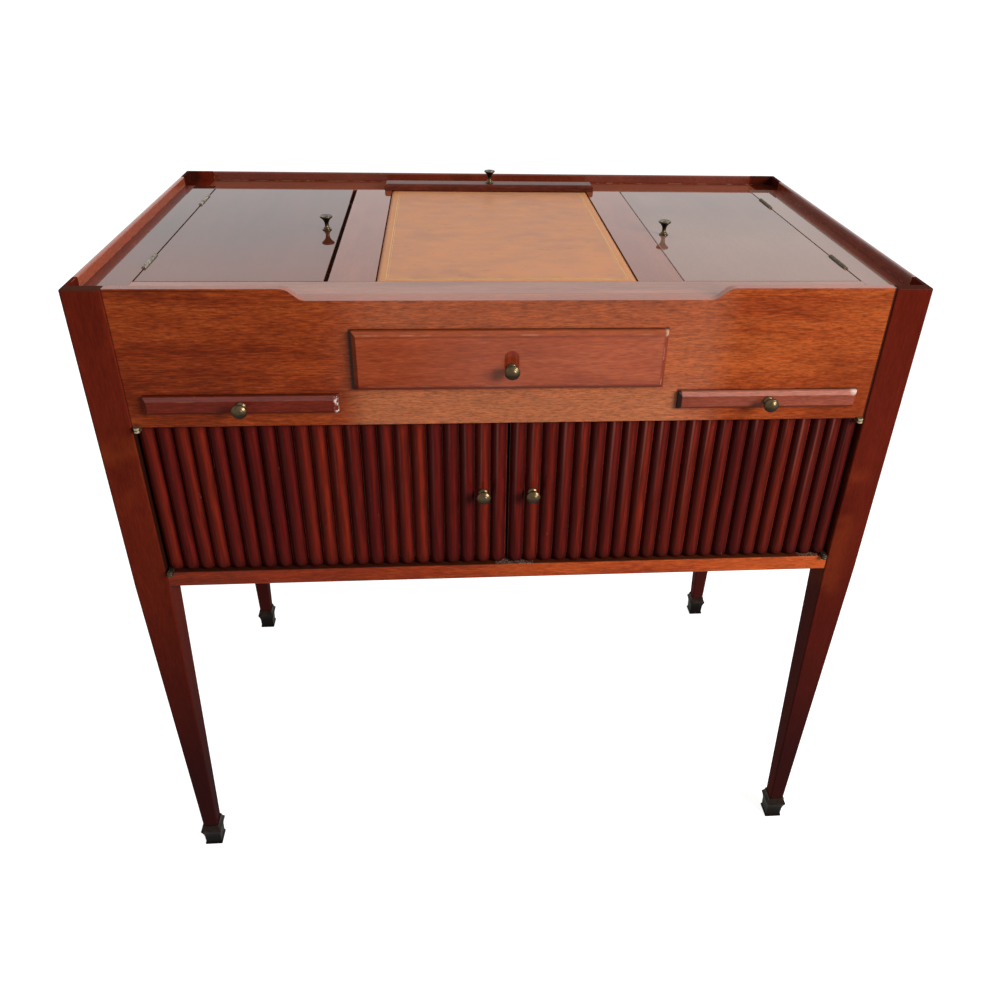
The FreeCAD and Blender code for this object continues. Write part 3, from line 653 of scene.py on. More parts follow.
@dataclass(frozen=True)
class MirrorFinish(Finish):
    """Old silvered glass with foxing towards its edges."""

    silver: Triple
    foxing: Triple

    def surface(self, sheet: ShaderSheet) -> dict:
        """Draws the mirror.

        Args:
            sheet: The material.

        Returns:
            The surface's values and sockets.
        """
        spots = sheet.between(sheet.noise(70.0, 5.0, 0.7), 0.62, 0.74)
        return {
            "Base Color": sheet.mix(sheet.times(spots, 0.7), self.silver, self.foxing),
            "Metallic": 1.0,
            "Roughness": sheet.between(spots, 0.0, 1.0, 0.03, 0.3),
        }


class Finishes:
    """Every finish of the table."""

    # Painted shade in gaps, in recesses and under edges, and dark corners and joints.
    shade_and_grime = (0.012, 0.005, 0.003)
    pale = (0.52, 0.42, 0.33)
    grit = (0.32, 0.27, 0.22)
    shadow = (0.10, 0.011, 0.004)
    rubbed = (0.62, 0.36, 0.24)
    glazed = {
        "streaks": 0.04, "pores": 0.12, "specular": 0.0,
        "polish": 1.0, "polish_roughness": 0.03, "wear": 0.25}
    lids = WoodFinish(
        "lid_mahogany", (0.040, 0.008, 0.005), (0.085, 0.019, 0.011), (0.13, 0.034, 0.019),
        figure=0.8, **glazed, stains_and_painted_light=(
            StainOrPaintedLight((0.20, 0.050, 0.026), y=(None, -70.0), soft=70.0, share=0.55),
            StainOrPaintedLight((0.25, 0.130, 0.092), x=(352.0, None), share=0.75)))
    right_lid = WoodFinish(
        "right_lid_mahogany", (0.10, 0.043, 0.031), (0.155, 0.070, 0.050), (0.21, 0.100, 0.072),
        figure=0.6, **glazed, stains_and_painted_light=(
            StainOrPaintedLight((0.30, 0.165, 0.118), y=(None, 30.0), soft=70.0, share=0.45),))
    framing = WoodFinish(
        "top_mahogany", (0.12, 0.024, 0.012), (0.21, 0.052, 0.024), (0.32, 0.10, 0.050),
        figure=0.4, **{**glazed, "streaks": 0.03, "pores": 0.06})
    front_framing = WoodFinish(
        "top_front_mahogany", (0.19, 0.060, 0.034), (0.30, 0.11, 0.064), (0.41, 0.17, 0.105),
        figure=0.8, **glazed)
    rim = WoodFinish(
        "rim_mahogany", (0.085, 0.012, 0.005), (0.17, 0.028, 0.011), (0.27, 0.055, 0.022),
        figure=0.7, pores=0.3, polish=0.8, polish_roughness=0.08, wear=0.6, worn=pale, stains_and_painted_light=(
            StainOrPaintedLight((0.075, 0.009, 0.003), y=(225.0, None), soft=8.0, share=0.6),
            # Painted light on the left rim's inner face.
            StainOrPaintedLight((0.40, 0.095, 0.042), x=(None, -394.0), y=(None, 215.0), soft=1.0, share=0.5),
            StainOrPaintedLight(pale, y=(-190.0, -188.2), z=(757.5, None), share=0.7, broken=140.0),
            StainOrPaintedLight(pale, z=(None, 758.6), share=0.3, broken=90.0)))
    cap = WoodFinish(
        "cap_mahogany", (0.040, 0.007, 0.004), (0.080, 0.015, 0.008), (0.13, 0.030, 0.015),
        figure=0.7, pores=0.3, polish=0.06, polish_roughness=0.12, level_polish=0.18, wear=0.4)
    apron = WoodFinish(
        "apron_mahogany", (0.149, 0.0190, 0.0046), (0.251, 0.041, 0.0090), (0.340, 0.070, 0.0155),
        figure=1.2, streaks=0.3, pores=0.46, pore_count=(190.0, 1100.0), polish=0.36, polish_roughness=0.28,
        polish_band=(-150.0, 204.0), level_polish=0.9, rightward_tone=0.24, wear=0.35, stains_and_painted_light=(
            # Painted sheen: lighter across the middle.
            StainOrPaintedLight((0.40, 0.125, 0.050), x=(-150.0, 204.0), soft=18.0, share=0.27),
            StainOrPaintedLight((0.42, 0.145, 0.055), x=(-150.0, 170.0), z=(None, 670.0), soft=10.0, share=0.42),
            StainOrPaintedLight((0.14, 0.016, 0.003), x=(290.0, None), z=(None, 700.0), soft=30.0, share=0.6),
            # Painted shadow of the proud drawer front at its left, and painted shade and grime in the gaps
            # round the drawer and the slides.
            StainOrPaintedLight(shade_and_grime, x=(None, 150.0), z=(729.4, 731.0), share=0.85, both=True),
            StainOrPaintedLight(shade_and_grime, x=(None, 150.0), z=(669.8, 671.6), share=0.85, both=True),
            StainOrPaintedLight(shade_and_grime, x=(-152.2, -148.5), z=(670.0, 731.0), soft=0.7, share=0.9),
            StainOrPaintedLight(shade_and_grime, x=(148.5, 149.9), z=(670.0, 731.0), share=0.8),
            StainOrPaintedLight(shade_and_grime, x=(165.0, 349.0), z=(665.0, 666.3), share=0.85, both=True),
            StainOrPaintedLight(shade_and_grime, x=(165.0, 349.0), z=(645.9, 647.4), share=0.85, both=True),
            # Painted shade under the front edge of the top.
            StainOrPaintedLight(shade_and_grime, x=(-364.0, -245.0), z=(766.2, 767.6), share=0.6),
            # Dark where the apron meets the legs.
            StainOrPaintedLight(shade_and_grime, x=(362.5, None), share=0.95),
            StainOrPaintedLight(shade_and_grime, x=(None, -363.2), share=0.6)))
    rail = WoodFinish(
        "rail_mahogany", (0.122, 0.0125, 0.0036), (0.24, 0.028, 0.0065), (0.46, 0.080, 0.015),
        figure=0.8, pores=0.35, polish_roughness=0.15, rightward_tone=0.35, wear=0.5, stains_and_painted_light=(
            # Painted shade on the rail's top under the doors and along its lower edge.
            StainOrPaintedLight(shade_and_grime, z=(457.0, None), soft=0.3, share=0.9),
            StainOrPaintedLight(shade_and_grime, z=(None, 440.2), soft=0.8, share=0.6),
            StainOrPaintedLight(grit, x=(330.0, None), z=(456.9, None), soft=0.3, share=0.4, broken=700.0),
            StainOrPaintedLight(grit, x=(-12.0, 30.0), z=(456.9, None), soft=0.3, share=0.5, broken=700.0)))
    fronts = WoodFinish(
        "front_mahogany", (0.17, 0.023, 0.008), (0.29, 0.056, 0.020), (0.44, 0.118, 0.050),
        figure=0.6, streaks=0.12, pores=0.28, pore_count=(120.0, 1100.0), polish=0.45, polish_roughness=0.25,
        polish_band=(-70.0, 400.0), level_polish=0.35, rightward_tone=0.22, wear=0.8, stains_and_painted_light=(
            # Painted shade on the bottom and right bevels, painted light on the top bevel.
            StainOrPaintedLight((0.12, 0.012, 0.004), z=(None, 676.4), soft=0.8, share=0.75),
            StainOrPaintedLight((0.12, 0.014, 0.005), x=(145.0, None), soft=0.5, share=0.85),
            StainOrPaintedLight((0.22, 0.044, 0.010), z=(726.0, None), soft=0.5, share=0.6),
            StainOrPaintedLight(shadow, x=(-145.0, 145.0), z=(724.6, 726.2), soft=0.6, share=0.5),
            StainOrPaintedLight(shadow, x=(144.2, 145.4), z=(675.0, 726.0), soft=0.5, share=0.5),
            StainOrPaintedLight(rubbed, x=(-145.0, 145.0), z=(726.6, 727.4), share=0.22, broken=26.0),
            StainOrPaintedLight(rubbed, x=(145.4, 146.4), z=(675.0, 726.0), share=0.25, broken=60.0),
            # Painted highlight at the top right corner.
            StainOrPaintedLight((0.62, 0.40, 0.30), x=(146.0, 149.0), z=(725.0, None), soft=1.2, share=0.5),
            StainOrPaintedLight(rubbed, x=(-145.0, 145.0), z=(675.4, 676.2), share=0.15, broken=26.0)))
    left_slide = WoodFinish(
        "left_slide_mahogany", (0.065, 0.006, 0.003), (0.12, 0.013, 0.006), (0.19, 0.028, 0.012),
        figure=0.7, pores=0.3, polish=0.04, polish_roughness=0.15, level_polish=0.7, wear=0.9, stains_and_painted_light=(
            StainOrPaintedLight((0.60, 0.55, 0.52), x=(-169.4, None), soft=0.8, share=0.8, broken=190.0),))
    right_slide = WoodFinish(
        "right_slide_mahogany", (0.13, 0.019, 0.010), (0.22, 0.045, 0.024), (0.33, 0.088, 0.050),
        figure=0.7, pores=0.3, polish=0.12, polish_roughness=0.15, level_polish=0.8, rightward_tone=0.1,
        wear=0.9, worn=(0.75, 0.60, 0.52), stains_and_painted_light=(
            StainOrPaintedLight((0.12, 0.017, 0.008), x=(None, 262.0), soft=30.0, share=0.5),
            # Painted sheen on the top bevel.
            StainOrPaintedLight((0.50, 0.21, 0.15), z=(661.6, None), share=0.40),
            # Painted glint at the right end.
            StainOrPaintedLight((0.80, 0.70, 0.64), x=(342.0, None), z=(662.2, None), soft=2.0, share=0.55),
            StainOrPaintedLight((0.16, 0.022, 0.009), x=(344.6, None), z=(None, 661.0), soft=0.5, share=0.7),
            # Painted shadow along the bottom.
            StainOrPaintedLight((0.14, 0.018, 0.010), z=(None, 650.5), soft=1.2, share=0.6),
            # Painted shade: the left end dark, as an open gap.
            StainOrPaintedLight((0.022, 0.006, 0.004), x=(None, 169.4), soft=0.5)))
    legs = WoodFinish(
        "leg_mahogany", (0.056, 0.0050, 0.0026), (0.098, 0.0096, 0.0042), (0.16, 0.019, 0.0065),
        figure=0.45, streaks=0.1, pores=0.2, specular=0.0, polish=0.03, polish_roughness=0.12,
        rightward_tone=-0.05, foot=0.95, wear=0.9, stains_and_painted_light=(
            # Painted sheen on the front legs.
            StainOrPaintedLight((0.20, 0.034, 0.008), (None, -350.0), OPEN, (475.0, 615.0), 14.0, 0.45, broken=9.0),
            StainOrPaintedLight((0.22, 0.036, 0.008), (350.0, 385.0), OPEN, (400.0, 570.0), 9.0, 0.24, broken=9.0),
            # Painted light on the lower back legs.
            StainOrPaintedLight((0.17, 0.020, 0.012), y=(150.0, None), z=(None, 440.0), soft=5.0, share=0.14),
            StainOrPaintedLight((0.045, 0.020, 0.012), (None, -364.0), (None, -214.0), (767.4, None), soft=0.8, share=0.7),
            StainOrPaintedLight((0.028, 0.012, 0.008), (364.0, None), (None, -189.0), (767.4, None), soft=0.8, share=0.6),
            StainOrPaintedLight(shade_and_grime, x=(366.0, None), y=(205.0, None), z=(756.0, None), soft=1.5, share=0.6),
            StainOrPaintedLight(shade_and_grime, x=(None, -382.0), y=(205.0, None), z=(756.0, None), soft=3.0, share=0.7),
            # Painted shade on the legs' sides beside the doors.
            StainOrPaintedLight(shade_and_grime, x=(-364.6, 0.0), y=(-224.4, -200.0), z=(457.0, 632.0), soft=0.3, share=0.9),
            StainOrPaintedLight(shade_and_grime, x=(0.0, 364.6), y=(-221.0, -200.0), z=(457.0, 632.0), soft=1.5, share=0.7)))
    panels = WoodFinish(
        "panel_mahogany", (0.07, 0.009, 0.004), (0.14, 0.022, 0.009), (0.22, 0.045, 0.018),
        figure=0.9, pores=0.5, polish=0.15, polish_roughness=0.12, wear=0.3)
    patch = WoodFinish(
        "patch_mahogany", (0.11, 0.011, 0.004), (0.20, 0.026, 0.009), (0.28, 0.044, 0.015),
        figure=0.8, polish=0.15, wear=0.6)
    oak = WoodFinish(
        "lining_oak", (0.24, 0.13, 0.055), (0.40, 0.24, 0.11), (0.52, 0.34, 0.18),
        figure=0.9, pores=0.6, gloss=0.55, polish=0.0, wear=0.2, worn=(0.6, 0.44, 0.28))
    shade = WoodFinish(
        "ledge_oak", (0.020, 0.010, 0.005), (0.038, 0.020, 0.010), (0.06, 0.034, 0.018),
        figure=0.9, pores=0.5, gloss=0.6, polish=0.0)
    back = WoodFinish(
        "back_mahogany", (0.09, 0.016, 0.007), (0.17, 0.036, 0.016), (0.26, 0.070, 0.032),
        pores=0.6, gloss=0.5, polish=0.08, polish_roughness=0.25, wear=0.4)
    # The third colour is painted shade and the fourth a painted highlight; the stops shade each bead's
    # flanks.
    reeds = ReedFinish(
        "reed_mahogany", (0.076, 0.0040, 0.0030), (0.160, 0.0130, 0.0042), (0.026, 0.0030, 0.0024),
        (0.30, 0.12, 0.10), gloss=0.40, polish=0.06, flank_shade_stops=(
            (0.0, 0.05), (0.10, 0.50), (0.28, 0.64), (0.42, 0.38), (0.56, 0.0),
            (0.65, 0.02), (0.76, 0.55), (0.86, 0.85), (0.94, 0.60), (1.0, 0.0)))
    brass = MetalFinish(
        "aged_brass", (0.118, 0.082, 0.042), (0.015, 0.010, 0.006), gloss=0.22, tarnish=0.6,
        under_shade=0.95)
    hinge = MetalFinish(
        "hinge_brass", (0.42, 0.36, 0.27), (0.060, 0.045, 0.030), gloss=0.38, tarnish=0.8, right_darkening=0.9)
    pivot = MetalFinish(
        "pivot_metal", (0.31, 0.26, 0.16), (0.040, 0.030, 0.021), gloss=0.45, tarnish=0.5,
        low_tarnish=500.0 * MM)
    bronze = MetalFinish(
        "dark_bronze", (0.022, 0.014, 0.0105), (0.0060, 0.0044, 0.0036), gloss=0.5, tarnish=0.6, metallic=0.9,
        low_tarnish=26.5 * MM)
    gold = MetalFinish(
        "gold_leaf", (0.72, 0.50, 0.19), (0.42, 0.23, 0.085), gloss=0.38, tarnish=0.5, metallic=0.6)
    leather = LeatherFinish(
        "tan_leather", (0.340, 0.136, 0.060), (0.435, 0.192, 0.100), (0.44, 0.175, 0.056),
        (0.14, 0.050, 0.022), line_x=118.5 * MM, line_front=-161.5 * MM)
    mirror = MirrorFinish("old_mirror", (0.82, 0.83, 0.82), (0.10, 0.08, 0.06))


class GeometryRecipe(TreeWriter):
    """A geometry tree with named sizes, which is made into plain meshes."""

    def __init__(self, name: str) -> None:
        """Starts an empty tree with one geometry in and out.

        Args:
            name: The tree's name.
        """
        super().__init__(bpy.data.node_groups.new(name, "GeometryNodeTree"))
        for way in ("INPUT", "OUTPUT"):
            self.tree.interface.new_socket("Geometry", in_out=way, socket_type="NodeSocketGeometry")
        self.entry = self.add("NodeGroupInput")
        self.identifiers: dict[str, str] = {}

    def sizes(self, kind: str, *names: str) -> list[Socket]:
        """Adds named inputs.

        Args:
            kind: Float, Int or Vector.
            names: The inputs' names.

        Returns:
            The sockets that give their values.
        """
        for name in names:
            item = self.tree.interface.new_socket(name, in_out="INPUT", socket_type=f"NodeSocket{kind}")
            self.identifiers[name] = item.identifier
        return [self.entry.outputs[name] for name in names]

    def vector(self, x: Any = 0.0, y: Any = 0.0, z: Any = 0.0) -> Socket:
        """Puts three values into a vector."""
        return self.out("ShaderNodeCombineXYZ", {0: x, 1: y, 2: z})

    def joined(self, *parts: Socket) -> Socket:
        """Joins pieces of geometry.

        Args:
            parts: The pieces, in order.

        Returns:
            The joined geometry.
        """
        node = self.add("GeometryNodeJoinGeometry")
        for part in parts:
            self.feed(node.inputs[0], part)
        return node.outputs[0]

    def row(self, count: Any, start: Any, step: Any) -> Socket:
        """Lays a row of points."""
        values = {"Count": count, "Start Location": start, "Offset": step}
        return self.out("GeometryNodeMeshLine", values, mode="OFFSET")

    def chance(self, top: float, seed: Any) -> Socket:
        """Draws a number between nought and a top for each point."""
        values = {2: 0.0, 3: top, "Seed": seed}
        return self.add("FunctionNodeRandomValue", values, data_type="FLOAT").outputs[1]

    def moved(self, geometry: Socket, **place: Any) -> Socket:
        """Moves or turns a geometry, by its translation or its rotation."""
        return self.out("GeometryNodeTransform", {"Geometry": geometry, **place})

    def thickened(self, outline: Socket, depth: Any) -> Socket:
        """Fills a closed curve and gives it thickness, closed at both ends.

        Args:
            outline: A closed flat curve.
            depth: The thickness along z.

        Returns:
            The solid's geometry.
        """
        face = self.out("GeometryNodeFillCurve", {"Curve": outline}, mode="NGONS")
        values = {"Mesh": face, "Offset": self.vector(z=depth), "Individual": False}
        sides = self.out("GeometryNodeExtrudeMesh", values, mode="FACES")
        both = self.joined(sides, self.out("GeometryNodeFlipFaces", {"Mesh": face}))
        return self.out("GeometryNodeMergeByDistance", {"Geometry": both, "Distance": 1e-6})

    def close(self, geometry: Socket, material: Material, crease: float = 0.6) -> None:
        """Ends the tree: real meshes, soft shading with sharp creases, and the material.

        Args:
            geometry: The geometry to end with.
            material: Its finish.
            crease: The angle above which an edge stays sharp, in radians.
        """
        real = self.out("GeometryNodeRealizeInstances", {"Geometry": geometry})
        angle = self.out("GeometryNodeInputMeshEdgeAngle")
        limits = {0: angle, 1: crease}
        sharp = self.out("FunctionNodeCompare", limits, data_type="FLOAT", operation="GREATER_THAN")
        shading = "GeometryNodeSetShadeSmooth"
        smooth = self.out(shading, {"Geometry": real, "Shade Smooth": True}, domain="FACE")
        creases = {"Geometry": smooth, "Selection": sharp, "Shade Smooth": False}
        creased = self.out(shading, creases, domain="EDGE")
        dressed = self.out("GeometryNodeSetMaterial", {"Geometry": creased, "Material": material})
        self.add("NodeGroupOutput", {0: dressed})

    def make(self, name: str, values: dict[str, Any]) -> Piece:
        """Makes one plain mesh from the tree.

        Args:
            name: The new object's name.
            values: The named sizes.

        Returns:
            The object, with no modifier left.
        """
        piece = bpy.data.objects.new(name, bpy.data.meshes.new(name + "_start"))
        bpy.context.scene.collection.objects.link(piece)
        modifier = piece.modifiers.new(name, "NODES")
        modifier.node_group = self.tree
        for key, value in values.items():
            modifier[self.identifiers[key]] = value
        graph = bpy.context.evaluated_depsgraph_get()
        mesh = bpy.data.meshes.new_from_object(
            piece.evaluated_get(graph), preserve_all_data_layers=True, depsgraph=graph)
        piece.modifiers.remove(modifier)
        piece.data = mesh
        mesh.name = name
        return piece


def new_piece(name: str, shape: Shape, material: Material) -> Piece:
    """Turns a bmesh into a smooth object at the origin.

    Args:
        name: The object's name.
        shape: The bmesh, which is freed.
        material: Its finish.

    Returns:
        The new object.
    """
    bmesh.ops.recalc_face_normals(shape, faces=shape.faces)
    mesh = bpy.data.meshes.new(name)
    shape.to_mesh(mesh)
    shape.free()
    mesh.materials.append(material)
    mesh.shade_smooth()
    piece = bpy.data.objects.new(name, mesh)
    bpy.context.scene.collection.objects.link(piece)
    return piece


def bridge(shape: Shape, rings: Sequence[Sequence[bmesh.types.BMVert]]) -> None:
    """Joins each ring of corners to the next by faces.

    Args:
        shape: The bmesh that the rings are in.
        rings: The rings from foot to crown, of one count or of a single corner.
    """
    count = max(len(ring) for ring in rings)
    for lower, upper in zip(rings, rings[1:]):
        for here in range(count):
            there = here + 1
            corners = [lower[here % len(lower)], lower[there % len(lower)]]
            corners += [upper[there % len(upper)], upper[here % len(upper)]]
            shape.faces.new(list(dict.fromkeys(corners)))


def add_turning(shape: Shape, profile: Profile, place: Matrix, segments: int = 40) -> None:
    """Adds a turned solid to a bmesh.

    Args:
        shape: The bmesh to add to.
        profile: Radii and heights in millimetres from foot to crown.
        place: Where its foot goes and which way it points.
        segments: Faces round it.
    """
    rings = []
    for radius, height in profile:
        count = segments if radius > 0 else 1
        angles = [2 * math.pi * step / count for step in range(count)]
        points = [Vector((radius * math.cos(a), radius * math.sin(a), height)) * MM for a in angles]
        rings.append([shape.verts.new(place @ point) for point in points])
    bridge(shape, rings)
    if len(rings[0]) > 1:
        shape.faces.new(rings[0])


def rounded_outline(low: Vector, high: Vector, height: float, radius: float, steps: int = 4) -> list[Vector]:
    """Points round a rectangle with rounded corners.

    Args:
        low: Its lowest x and y.
        high: Its highest x and y.
        height: Its z.
        radius: The corners' radius.
        steps: Segments in each corner.

    Returns:
        The points in order.
    """
    points = []
    right, left, back, front = high.x - radius, low.x + radius, high.y - radius, low.y + radius
    for quarter, (x, y) in enumerate(((right, back), (left, back), (left, front), (right, front))):
        for step in range(steps + 1):
            angle = math.pi / 2 * (quarter + step / steps)
            points.append(Vector((x + radius * math.cos(angle), y + radius * math.sin(angle), height)))
    return points


class Assembly:
    """Common ways to dress a node and to fix a new piece to its body."""

    def dress(self, material: Material, *nodes: str) -> None:
        """Gives some CAD nodes a finish.

        Args:
            material: The finish.
            nodes: The nodes' names.
        """
        for name in nodes:
            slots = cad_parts[name].data.materials
            slots.clear()
            slots.append(material)
            LOG.info("dressed %s in %s", name, material.name)

    def fix(self, piece: Piece, body: str, slot: str, *nodes: str) -> Piece:
        """Fixes a new piece to its body.

        Args:
            piece: The new piece.
            body: The body it moves with.
            slot: Not used.
            nodes: CAD nodes it stands for.

        Returns:
            The same piece.
        """
        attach(piece, body)
        if nodes:
            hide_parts(*nodes)
        LOG.info("built %s on %s", piece.name, body)
        return piece


@dataclass
class Knob(Assembly):
    """A turned brass knob in the place of its plain CAD solid."""

    node: str
    body: str
    upright: bool = False
    front_profile: Profile = (
        (5.0, 0.0), (5.2, 0.5), (5.0, 1.1), (4.2, 1.6), (3.3, 2.2), (2.9, 3.2), (2.7, 4.3), (2.8, 5.2),
        (3.4, 5.5), (3.7, 6.0), (3.5, 6.5), (3.1, 6.8), (3.6, 7.6), (5.2, 8.6), (6.7, 9.5), (7.25, 10.1),
        (7.4, 10.7), (7.2, 11.4), (6.75, 11.9), (6.5, 12.05), (6.1, 12.5), (5.3, 13.2), (4.7, 13.6),
        (4.45, 13.6), (4.2, 13.85), (3.2, 14.45), (1.8, 14.87), (0.7, 14.98), (0.0, 15.0))
    top_profile: Profile = (
        (5.2, 0.0), (5.2, 0.7), (4.9, 1.1), (3.9, 1.4), (3.4, 1.8), (3.6, 2.3), (3.3, 2.8), (2.6, 3.4),
        (2.2, 4.8), (2.2, 6.6), (2.5, 8.4), (3.2, 10.0), (4.5, 11.9), (5.9, 13.2), (6.8, 13.8), (7.0, 14.2),
        (7.0, 15.0), (6.7, 15.45), (6.1, 15.6), (5.6, 15.35), (2.5, 15.35), (2.0, 15.7), (1.2, 15.93),
        (0.0, 16.0))

    def build(self) -> Piece:
        """Turns the knob and fixes it.

        Returns:
            The new knob.
        """
        low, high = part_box(self.node)
        middle = (low + high) / 2
        if self.upright:
            profile = self.top_profile
            place = Matrix.Translation((middle.x, middle.y, high.z - profile[-1][1] * MM))
        else:
            profile = self.front_profile
            turn = Euler((math.pi / 2, 0.0, 0.0)).to_matrix().to_4x4()
            place = Matrix.Translation((middle.x, low.y + profile[-1][1] * MM, middle.z)) @ turn
        shape = bmesh.new()
        add_turning(shape, profile, place)
        piece = new_piece(self.node + "_turned", shape, Finishes.brass.material())
        return self.fix(piece, self.body, "brass", self.node)


@dataclass
class Carcase(Assembly):
    """Legs, apron, rail, panels and the boards inside the case."""

    shoe_levels: tuple[float, ...] = (3.2, 4.0, 14.5, 27.0, 36.0)
    shoe_corner: float = 0.9 * MM
    waist_shares: tuple[float, ...] = (0.25, 0.5, 0.75, 0.92)
    lip_shares: tuple[float, ...] = (0.3, 0.65, 1.0)

    def dress_case(self) -> None:
        """Gives every board of the case its timber."""
        legs = [f"{depth}_{side.value}_leg" for depth in ("front", "back") for side in Side]
        for seed, leg in enumerate(legs, start=1):
            self.dress(Finishes.legs.material(Grain.HEIGHT, seed), leg)
        oak = Finishes.oak
        self.dress(Finishes.apron.material(Grain.WIDTH, 3), "front_apron")
        self.dress(Finishes.rail.material(Grain.WIDTH, 5), "front_rail")
        self.dress(Finishes.panels.material(Grain.DEPTH, 7), "left_side_panel", "right_side_panel")
        self.dress(Finishes.back.material(Grain.WIDTH, 9), "back_panel")
        self.dress(
            oak.material(Grain.WIDTH, 2), "bottom_board", "dust_board", "mirror_partition", "door_stop")
        self.dress(
            oak.material(Grain.DEPTH, 4), "well_floors", "drawer_dividers", "drawer_runners", "slide_guides")
        self.dress(Finishes.shade.material(Grain.DEPTH, 8), "top_ledges")
        self.dress(oak.material(Grain.HEIGHT, 6), "mirror_guides")
        self.dress(Finishes.pivot.material(), "door_pivots")

    def section(self, sign_x: int, sign_y: int, level: float) -> Section:
        """Corners of one shoe's section in the CAD model.

        Args:
            sign_x: Which side the shoe is on.
            sign_y: Whether it is at the front, -1, or the back, 1.
            level: The height of the section in millimetres.

        Returns:
            Its lowest and highest corner.
        """
        corners = [vertex.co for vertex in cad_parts["sabots"].data.vertices]
        points = [
            p for p in corners
            if p.x * sign_x > 0 and p.y * sign_y > 0 and abs(p.z - level * MM) < 0.1 * MM]
        low = Vector((min(p.x for p in points), min(p.y for p in points)))
        high = Vector((max(p.x for p in points), max(p.y for p in points)))
        return low, high

    def build_shoes(self) -> Piece:
        """Casts the four bronze shoes with a bead, a hollow waist, an arris and a sloped lip.

        Returns:
            The four shoes as one piece.
        """
        shape = bmesh.new()
        for sign_x in (-1, 1):
            for sign_y in (-1, 1):
                self.add_shoe(shape, *(self.section(sign_x, sign_y, level) for level in self.shoe_levels))
        piece = new_piece("sabot_shoes", shape, Finishes.bronze.material())
        piece.data.set_sharp_from_angle(angle=0.5)
        return self.fix(piece, "table", "bronze", "sabots")

    def add_shoe(
            self, shape: Shape, bead: Section, step: Section, waist: Section, arris: Section,
            lip: Section) -> None:
        """Adds one shoe to a bmesh.

        Args:
            shape: The bmesh to add to.
            bead: Corners of the bead at the floor.
            step: Corners of the step over it.
            waist: Corners of the hollow waist.
            arris: Corners of the widest line.
            lip: Corners of the lip round the leg.
        """
        top, neck, middle, edge, rim = (level * MM for level in self.shoe_levels)
        inward = -0.5 * MM
        rows = [(bead, inward, 0.0), (bead, 0.0, 0.6 * MM), (bead, 0.0, top - 0.7 * MM), (bead, inward, top)]
        rows += [(step, 0.0, neck), (waist, 0.0, middle - 5 * MM)]
        for share in self.waist_shares:
            mixed = tuple(a.lerp(b, share ** 2.2) for a, b in zip(waist, arris))
            rows.append((mixed, 0.0, middle - 3 * MM + (edge - middle + 2.4 * MM) * share))
        rows += [(arris, 0.0, edge - 0.5 * MM), (arris, -0.05 * MM, edge + 0.5 * MM)]
        for share in self.lip_shares:
            mixed = tuple(a.lerp(b, 1 - (1 - share) ** 1.6) for a, b in zip(arris, lip))
            rows.append((mixed, 0.0, edge + (rim - edge) * share))
        rings = []
        for (low, high), grow, height in rows:
            spread = Vector((grow, grow))
            outline = rounded_outline(low - spread, high + spread, height, self.shoe_corner)
            rings.append([shape.verts.new(point) for point in outline])
        bridge(shape, rings)
        shape.faces.new(rings[0][::-1])
        shape.faces.new(rings[-1])


